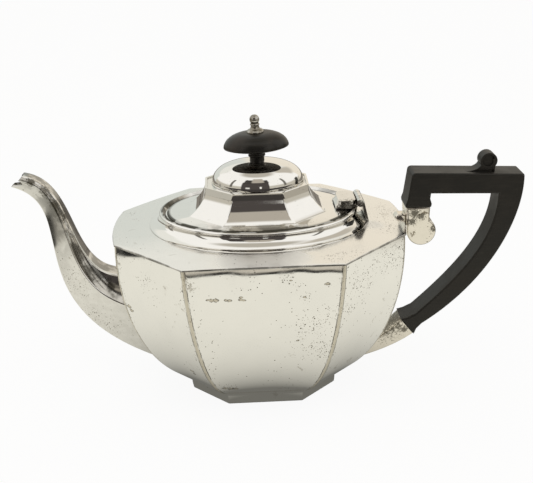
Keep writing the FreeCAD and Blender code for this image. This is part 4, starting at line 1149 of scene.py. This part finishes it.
FLANGE_HALF_LENGTH, FLANGE_HALF_WIDTH = 0.0521, 0.0374
FLANGE_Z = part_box("lid_cover")[0].z
FLANGE_TOP_Z = FLANGE_Z + SHEET
LIP_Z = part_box("lid_cover")[1].z
RISER_HALF_LENGTH, LIP_HALF_LENGTH = 0.0404, 0.0289
RISER_HALF_WIDTH, LIP_HALF_WIDTH = 0.0307, 0.02265
RISER_SWEEP = 2.3
FRONT_TRIM = 0.0016
LID_SHIFT = Vector((-0.0008, 0.0, 0.0))
RISER_ROWS = 28
RISER_EASE = 0.0007
LIP_WIDTH, LIP_HEIGHT = 0.0012, 0.0007
DOME_FOOT_Z = LIP_Z - LIP_HEIGHT
PLATE_LOW_Z = DOME_FOOT_Z - SHEET
PLATE_HOLE_LENGTH, PLATE_HOLE_WIDTH = 0.0230, 0.0179
FLANGE_EASE = 0.0003
FLANGE_DROP = 0.0006
FLANGE_SHADE_WIDTH = 0.0021
FLANGE_FALL = 0.8
FOOT_DARKENING, FOOT_DARKENING_START = 1.6, 0.9


def lid_octagon(half_length, half_width, z):
    end_half = half_width * OCTAGON_EDGE
    front_half = half_length - half_width + end_half - FRONT_TRIM
    ring = octagon_ring(half_length, half_width, front_half, end_half, z, RISER_EASE)
    return [(point + LID_SHIFT, 0.0) for point, distance in ring]


def riser_ring(z, inset):
    spread = (1.0 - (z - FLANGE_Z) / (LIP_Z - FLANGE_Z)) ** RISER_SWEEP
    return lid_octagon(
        LIP_HALF_LENGTH + (RISER_HALF_LENGTH - LIP_HALF_LENGTH) * spread - inset,
        LIP_HALF_WIDTH + (RISER_HALF_WIDTH - LIP_HALF_WIDTH) * spread - inset, z)


def riser_rings(low, high, inset):
    return [riser_ring(low + (high - low) * share, inset) for share in shares(RISER_ROWS)]


riser_rows = riser_rings(FLANGE_TOP_Z, LIP_Z, 0.0)


# The flange's outer rows take the painted shade of the gap round the lid
def flange_ring(inset, z, in_shade):
    ring = oval_ring(FLANGE_HALF_LENGTH - inset, FLANGE_HALF_WIDTH - inset, z, riser_rows[0])
    return gap_shade(ring, in_shade)


def foot_darkening(ring):
    """Mark the flange for darkening in front of the riser's foot."""
    return [(point, FOOT_DARKENING * max(0.0, -point.y * GAP_FADE - FOOT_DARKENING_START)) for point, distance in ring]


cover = loft("cover", (
    [
        flange_ring(0.0, FLANGE_Z, 1.0),
        flange_ring(0.0, FLANGE_TOP_Z - FLANGE_DROP - FLANGE_EASE, 1.0),
        flange_ring(FLANGE_EASE, FLANGE_TOP_Z - FLANGE_DROP, 1.0),
        foot_darkening(flange_ring(FLANGE_SHADE_WIDTH, FLANGE_TOP_Z - FLANGE_DROP * FLANGE_FALL, 0.0)),
        foot_darkening(riser_rows[0]),
    ]
    + riser_rows[1:]
    + [lid_octagon(LIP_HALF_LENGTH - LIP_WIDTH, LIP_HALF_WIDTH - LIP_WIDTH, z) for z in (LIP_Z, DOME_FOOT_Z)]
    + [oval_ring(PLATE_HOLE_LENGTH, PLATE_HOLE_WIDTH, z, riser_rows[0]) for z in (DOME_FOOT_Z, PLATE_LOW_Z)]
    + riser_rings(PLATE_LOW_Z, FLANGE_Z, SHEET)), carries="hollow")
cover_silver = silver("cover_silver", pits=0.35, stains=0.15, haze=0.3, hollow=0.95)
place(cover, "lid", "lid_cover", cover_silver)

bezel_low, bezel_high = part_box("lid_bezel")
bezel = oval_band("bezel", bezel_high.x, bezel_high.y, SHEET, bezel_low.z, bezel_high.z)
place(bezel, "lid", "lid_bezel", inner_silver)

DOME_HALF_LENGTH, DOME_HALF_WIDTH = 0.0258, 0.0203
DOME_RISE = 0.0129
DOME_FULLNESS = 0.68
DOME_SIDE = [(1, 0), (1, DOME_FULLNESS), (DOME_FULLNESS, 1), (0, 1)]
DOME_OPEN_AT = 0.964
DOME_ROWS = 40


def dome_rings(inset):
    """An oval dome a little fuller than an ellipsoid, open at the top for the knob's stud."""
    rings = []
    for share in shares(DOME_ROWS):
        point = curve_point(DOME_SIDE, DOME_OPEN_AT * share)
        rings.append(oval(
            (DOME_HALF_LENGTH - inset) * point.x,
            (DOME_HALF_WIDTH - inset) * point.x,
            DOME_FOOT_Z + (DOME_RISE - inset) * point.z))
    return rings


dome = loft("dome", dome_rings(0.0) + dome_rings(SHEET)[::-1])
dome_silver = silver("dome_silver", pits=0.25, stains=0.1, haze=0.25)
place(dome, "lid", "lid_dome", dome_silver)


# Knob
# A turned and flattened mushroom of the same black wood, with a ring on its stem.
# A silver ball finial screws down through it to a brass washer and nut under the dome.

KNOB_HALF_LENGTH, KNOB_HALF_WIDTH = 0.0182, 0.0138
FINIAL_HEIGHT = 0.0097
SHANK_RADIUS = 0.0015
DOME_TOP_Z = DOME_FOOT_Z + DOME_RISE
SHANK_LOW_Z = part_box("finial_stud")[0].z
KNOB_TOP_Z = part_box("finial_stud")[1].z - FINIAL_HEIGHT
KNOB_LEAN = math.radians(2.2)
# Radius and height over the dome
KNOB_SIDE = [
    (0.0015, -0.0002), (0.0041, -0.0002), (0.0041, 0.0020), (0.0046, 0.0024), (0.0048, 0.0029),
    (0.0047, 0.0034), (0.0045, 0.0037), (0.0050, 0.0046), (0.0063, 0.0055), (0.0091, 0.0062),
    (0.0130, 0.0067), (0.0164, 0.0073), (0.0181, 0.0079), (0.0182, 0.0085), (0.0177, 0.0101),
    (0.0162, 0.0123), (0.0134, 0.0143), (0.0095, 0.0157),
]
KNOB_CROWN = [(0.0052, KNOB_TOP_Z), (0.0015, KNOB_TOP_Z)]
KNOB_SHARP = {0, 1, 2, 6, 12, 18, 19}
PROFILE_SUBDIVISIONS = 6


def flowing(profile, sharp):
    """Points along a turned profile: rounded between its points, straight where a point is marked sharp."""
    profile = [Vector(point) for point in profile]
    points = []
    last = len(profile) - 1
    for index in range(last):
        start, end = profile[index], profile[index + 1]
        bend_in = bend_out = end - start
        if index not in sharp:
            bend_in = (end - profile[max(index - 1, 0)]) * 0.5
        if index + 1 not in sharp:
            bend_out = (profile[min(index + 2, last)] - start) * 0.5
        for t in shares(PROFILE_SUBDIVISIONS)[:-1]:
            points.append(
                start * (2 * t ** 3 - 3 * t ** 2 + 1) + bend_in * (t ** 3 - 2 * t ** 2 + t)
                + end * (3 * t ** 2 - 2 * t ** 3) + bend_out * (t ** 3 - t ** 2))
    return points + [profile[last]]


def turned(profile, flatten=1.0):
    return [oval(radius, radius * flatten, z) for radius, z in profile]


knob_profile = [(radius, DOME_TOP_Z + height) for radius, height in KNOB_SIDE] + KNOB_CROWN
knob = loft("knob", turned(flowing(knob_profile, KNOB_SHARP), KNOB_HALF_WIDTH / KNOB_HALF_LENGTH))
pivot = Matrix.Translation((0.0, 0.0, DOME_TOP_Z))
leaning = pivot @ Matrix.Rotation(-KNOB_LEAN, 4, "Y") @ pivot.inverted()
knob.data.transform(leaning)
knob_black = ebonised("knob_black", 0.25, (0.036, 0.024, 0.016, 1.0))
place(knob, "lid", "lid_knob", knob_black)

# Radius and height over the knob
FINIAL_SIDE = [
    (0.0002, -0.0006), (0.0046, -0.0006), (0.0048, 0.0003), (0.0042, 0.0012), (0.0029, 0.0019),
    (0.0024, 0.0027), (0.0023, 0.0037), (0.0026, 0.0041), (0.0025, 0.0046), (0.0021, 0.0049),
    (0.0025, 0.0058), (0.0027, 0.0070), (0.0024, 0.0083), (0.0015, 0.0093), (0.0002, FINIAL_HEIGHT),
]
FINIAL_SHARP = {0, 1, 9}
finial_profile = [(radius, KNOB_TOP_Z + height) for radius, height in FINIAL_SIDE]
shank = turned([(SHANK_RADIUS, SHANK_LOW_Z), (SHANK_RADIUS, finial_profile[0][1])])
finial = loft("finial", shank + turned(flowing(finial_profile, FINIAL_SHARP))[1:], wrap=False)
finial.data.transform(leaning)
finial_silver = silver("finial_silver", pits=0.6, stains=0.8, haze=0.6, tarnish=1.0)
place(finial, "lid", "finial_stud", finial_silver)

FIXING_EASE = 0.00015
BRASS = (0.62, 0.45, 0.20, 1.0)
BROWNED_BRASS = (0.38, 0.25, 0.11, 1.0)
STEAM_MOTTLE = (600.0, 5.0, 0.6)
BRASS_POLISH, STEAM_DULLS = 0.25, 0.3


def dulled_brass(name):
    """Turned brass inside the lid, browned by steam."""
    material, tree, shader, coords = new_material(name)
    mottle = noise(tree, coords, *STEAM_MOTTLE)
    feed(tree, shader, {
        "Metallic": 1.0, "Base Color": blend_colours(tree, mottle, BRASS, BROWNED_BRASS),
        "Roughness": maths(tree, "MULTIPLY_ADD", mottle, STEAM_DULLS, BRASS_POLISH)})
    return material


steam_brass = dulled_brass("steam_brass")
for node, name in (("knob_washer", "washer"), ("knob_nut", "nut")):
    fixing = eased_copy(node, name, FIXING_EASE)
    place(fixing, "lid", node, steam_brass)


# Table and light
# The pot stands on a square of white paper in a white tent, with a broad soft light above.
# The tent is open towards the viewer, so polished metal that faces that way goes dark.

FLOOR_HALF = 3.0
FLOOR_GLOW = 0.92
PAPER_LEFT, PAPER_RIGHT = -0.303, 0.330
PAPER_FRONT, PAPER_BACK = -0.322, 0.330
PAPER_TONE = (0.85, 0.838, 0.757, 1.0)
PAPER_BEYOND = [
    # edge of the paper, where the change starts and ends beyond it, tone it goes to
    ("left", -0.005, 0.012, (0.52, 0.50, 0.44, 1.0)),
    ("right", -0.060, 0.060, (0.42, 0.39, 0.33, 1.0)),
    ("front", 0.013, 0.016, (0.60, 0.56, 0.48, 1.0)),
    ("front", 0.07, 0.11, (0.05, 0.045, 0.042, 1.0)),
    ("back", 0.0, 0.12, (0.24, 0.22, 0.19, 1.0)),
]
LINE_TONE = (0.02, 0.02, 0.018, 1.0)
LINE_START, LINE_FADE = (0.0, 0.003), (0.022, 0.0154)
LEFT_LINE_END = (-0.034, -0.028)
LEFT_STRETCH = 0.5
SHEET_WHITE = (0.88, 0.875, 0.86, 1.0)
WHITE = (1.0, 1.0, 1.0, 1.0)
SHADE_START = 1.05
SHADE_SPREAD = 0.75
SHADE_DEEPEST = 0.20
floor_mesh = bpy.data.meshes.new("floor")
floor_corners = [(-1, -1), (1, -1), (1, 1), (-1, 1)]
floor_mesh.from_pydata([(x * FLOOR_HALF, y * FLOOR_HALF, 0) for x, y in floor_corners], [], [(0, 1, 2, 3)])
floor = as_object(floor_mesh)


def paper_in_mirror(tree):
    """The paper as polished metal finds it: shaded round the foot, ending in a dark line, duller beyond."""
    coords = node_in(tree, "ShaderNodeTexCoord").outputs["Object"]
    x, y, _ = node_in(tree, "ShaderNodeSeparateXYZ", {0: coords}).outputs

    def squared(value, size):
        return maths(tree, "POWER", maths(tree, "ABSOLUTE", maths(tree, "DIVIDE", value, size)), 2.0)

    def edge_line(beyond):
        """The dark gap at an edge of the paper."""
        return maths(tree, "MULTIPLY", ramp(tree, beyond, *LINE_START), ramp(tree, beyond, *LINE_FADE))

    out = maths(tree, "SQRT", maths(tree, "ADD", squared(x, FOOT_HALF_LENGTH), squared(y, FOOT_HALF_WIDTH)))
    fading = maths(tree, "DIVIDE", maths(tree, "SUBTRACT", SHADE_START, out), SHADE_SPREAD)
    lit = maths(tree, "SUBTRACT", 1.0, maths(tree, "EXPONENT", fading))
    over = {
        "left": maths(tree, "MULTIPLY", maths(tree, "SUBTRACT", PAPER_LEFT, x), LEFT_STRETCH),
        "right": maths(tree, "SUBTRACT", x, PAPER_RIGHT),
        "front": maths(tree, "SUBTRACT", PAPER_FRONT, y),
        "back": maths(tree, "SUBTRACT", y, PAPER_BACK),
    }
    line = maths(tree, "MULTIPLY", edge_line(over["left"]), ramp(tree, y, *LEFT_LINE_END))
    for edge in ("front", "right"):
        line = maths(tree, "MAXIMUM", line, edge_line(over[edge]))
    paper = PAPER_TONE
    for edge, start, end, tone in PAPER_BEYOND:
        paper = blend_colours(tree, ramp(tree, over[edge], start, end), paper, tone)
    paper = blend_colours(tree, line, paper, LINE_TONE)
    shade = maths(tree, "MAXIMUM", lit, SHADE_DEEPEST)
    return node_in(tree, "ShaderNodeVectorMath", {0: paper, "Scale": shade}, operation="SCALE").outputs[0]


def floor_white():
    """Paper that is plain white to the eye and keeps the pot's shadow."""
    material = bpy.data.materials.new("floor_white")
    material.use_nodes = True
    tree = material.node_tree
    tree.nodes.clear()
    rays = node_in(tree, "ShaderNodeLightPath").outputs
    sheet = node_in(tree, "ShaderNodeBsdfDiffuse", {"Color": SHEET_WHITE})
    seen = blend_colours(tree, rays["Is Glossy Ray"], WHITE, paper_in_mirror(tree))
    glow = node_in(tree, "ShaderNodeEmission", {"Color": seen})
    share = maths(tree, "MULTIPLY_ADD", rays["Is Camera Ray"], FLOOR_GLOW, rays["Is Glossy Ray"])
    mix = node_in(tree, "ShaderNodeMixShader", {"Fac": share, 1: sheet.outputs[0], 2: glow.outputs[0]})
    node_in(tree, "ShaderNodeOutputMaterial", {"Surface": mix.outputs[0]})
    return material


dress(floor, floor_white())

TENT_WHITE = (1.0, 0.99, 0.965, 1.0)
TENT_PATCHES = [
    # bearing from the viewer and half width, lowest and highest elevation, softness, colour
    (0, 200, 76, 120, 12, (0.50, 0.47, 0.41, 1.0)),
    (0, 200, -90, 7, 8, (0.56, 0.53, 0.46, 1.0)),
    (180, 45, -90, 42, 8, (0.86, 0.86, 0.81, 1.0)),
    (-152, 27, -90, 22, 5, (0.70, 0.73, 0.69, 1.0)),
    (152, 27, -90, 34, 5, (0.88, 0.82, 0.71, 1.0)),
    (134, 14, 40, 60, 12, (0.55, 0.51, 0.44, 1.0)),
    (103, 5, -90, 15, 3, (0.06, 0.058, 0.050, 1.0)),
    (-60, 2, 4, 42, 2.5, (0.16, 0.15, 0.13, 1.0)),
    (60, 2, 4, 42, 2.5, (0.16, 0.15, 0.13, 1.0)),
    (-6, 28, -90, 34, 2, (0.075, 0.066, 0.062, 1.0)),
    (-22, 9, 30, 50, 3, (0.060, 0.054, 0.050, 1.0)),
    (17, 6, 30, 47, 3, (0.060, 0.054, 0.050, 1.0)),
    (0, 12, 36, 57, 5, (0.47, 0.43, 0.37, 1.0)),
    (5, 1.6, 0.5, 10, 0.8, (0.95, 0.94, 0.90, 1.0)),
    (-21, 3.5, 0.5, 6, 1.5, (0.80, 0.78, 0.74, 1.0)),
]


def tent_tone(tree):
    """The walls of the tent as the pot sees them, patch over patch."""
    looking = node_in(tree, "ShaderNodeTexCoord").outputs["Generated"]
    x, y, z = node_in(tree, "ShaderNodeSeparateXYZ", {0: looking}).outputs
    bearing = maths(tree, "ARCTAN2", x, maths(tree, "MULTIPLY", y, -1.0))
    elevation = maths(tree, "ARCSINE", z)
    tone = TENT_WHITE
    for centre, half_width, low, high, soft, colour in TENT_PATCHES:
        apart = maths(tree, "SUBTRACT", bearing, math.radians(centre))
        apart = maths(tree, "ABSOLUTE", maths(tree, "WRAP", apart, math.pi, -math.pi))
        inside = ramp(tree, apart, math.radians(half_width + soft), math.radians(half_width))
        above = ramp(tree, elevation, math.radians(low - soft), math.radians(low))
        below = ramp(tree, elevation, math.radians(high + soft), math.radians(high))
        share = maths(tree, "MULTIPLY", inside, maths(tree, "MULTIPLY", above, below))
        tone = blend_colours(tree, share, tone, colour)
    return tone


world = bpy.data.worlds.new("white_tent")
bpy.context.scene.world = world
world.use_nodes = True
room = world.node_tree
room.nodes.clear()
rays = node_in(room, "ShaderNodeLightPath").outputs
tent = node_in(room, "ShaderNodeBackground", {"Color": tent_tone(room)})
backdrop = node_in(room, "ShaderNodeBackground", {"Color": WHITE})
walls = node_in(room, "ShaderNodeMixShader", {
    "Fac": rays["Is Camera Ray"], 1: tent.outputs[0], 2: backdrop.outputs[0]})
node_in(room, "ShaderNodeOutputWorld", {"Surface": walls.outputs[0]})
POT_MIDDLE = Vector((0.0, 0.0, 0.07))


def soft_light(name, position, size, power, colour):
    """A broad lamp aimed at the pot, which lights the scene without showing in the silver."""
    data = bpy.data.lights.new(name, "AREA")
    data.shape = "RECTANGLE"
    data.size, data.size_y = size
    data.energy = power
    data.color = colour
    lamp = bpy.data.objects.new(name, data)
    bpy.context.scene.collection.objects.link(lamp)
    lamp.location = position
    lamp.rotation_euler = (POT_MIDDLE - Vector(position)).to_track_quat("-Z", "Y").to_euler()
    lamp.visible_glossy = False


soft_light("above", (-0.1, -0.25, 1.0), (0.9, 0.7), 1.6, (1.0, 0.98, 0.95))
soft_light("left", (-1.0, -0.4, 0.7), (0.6, 0.8), 0.6, (0.97, 0.99, 1.0))
soft_light("right", (1.0, -0.4, 0.7), (0.6, 0.8), 0.8, (1.0, 0.96, 0.90))


# Camera
# The viewpoint found from the corners of the foot, shoulder, lid and handle.

IMAGE_WIDTH = 533
FOCAL_PIXELS = 900.0
SENSOR_WIDTH = 36.0
NEAREST = 0.01
VIEW_AZIMUTH = math.radians(-2.168)
VIEW_ELEVATION = math.radians(22.285)
VIEW_ROLL = math.radians(-1.454)
VIEW_DISTANCE = 0.52213
VIEW_TARGET = Vector((0.00408, 0.0, 0.08681))
back = Vector((
    math.sin(VIEW_AZIMUTH) * math.cos(VIEW_ELEVATION),
    -math.cos(VIEW_AZIMUTH) * math.cos(VIEW_ELEVATION),
    math.sin(VIEW_ELEVATION)))
level = (-back).cross(Vector((0, 0, 1))).normalized()
upright = level.cross(-back)
right = level * math.cos(VIEW_ROLL) + upright * math.sin(VIEW_ROLL)
up = upright * math.cos(VIEW_ROLL) - level * math.sin(VIEW_ROLL)
camera_data = bpy.data.cameras.new("viewpoint")
camera_data.sensor_width = SENSOR_WIDTH
camera_data.lens = FOCAL_PIXELS / IMAGE_WIDTH * SENSOR_WIDTH
camera_data.clip_start = NEAREST
camera = bpy.data.objects.new("viewpoint", camera_data)
bpy.context.scene.collection.objects.link(camera)
turn = Matrix((right, up, back)).transposed().to_4x4()
camera.matrix_world = Matrix.Translation(VIEW_TARGET + back * VIEW_DISTANCE) @ turn
bpy.context.scene.camera = camera
bpy.context.scene.view_settings.view_transform = "Standard"
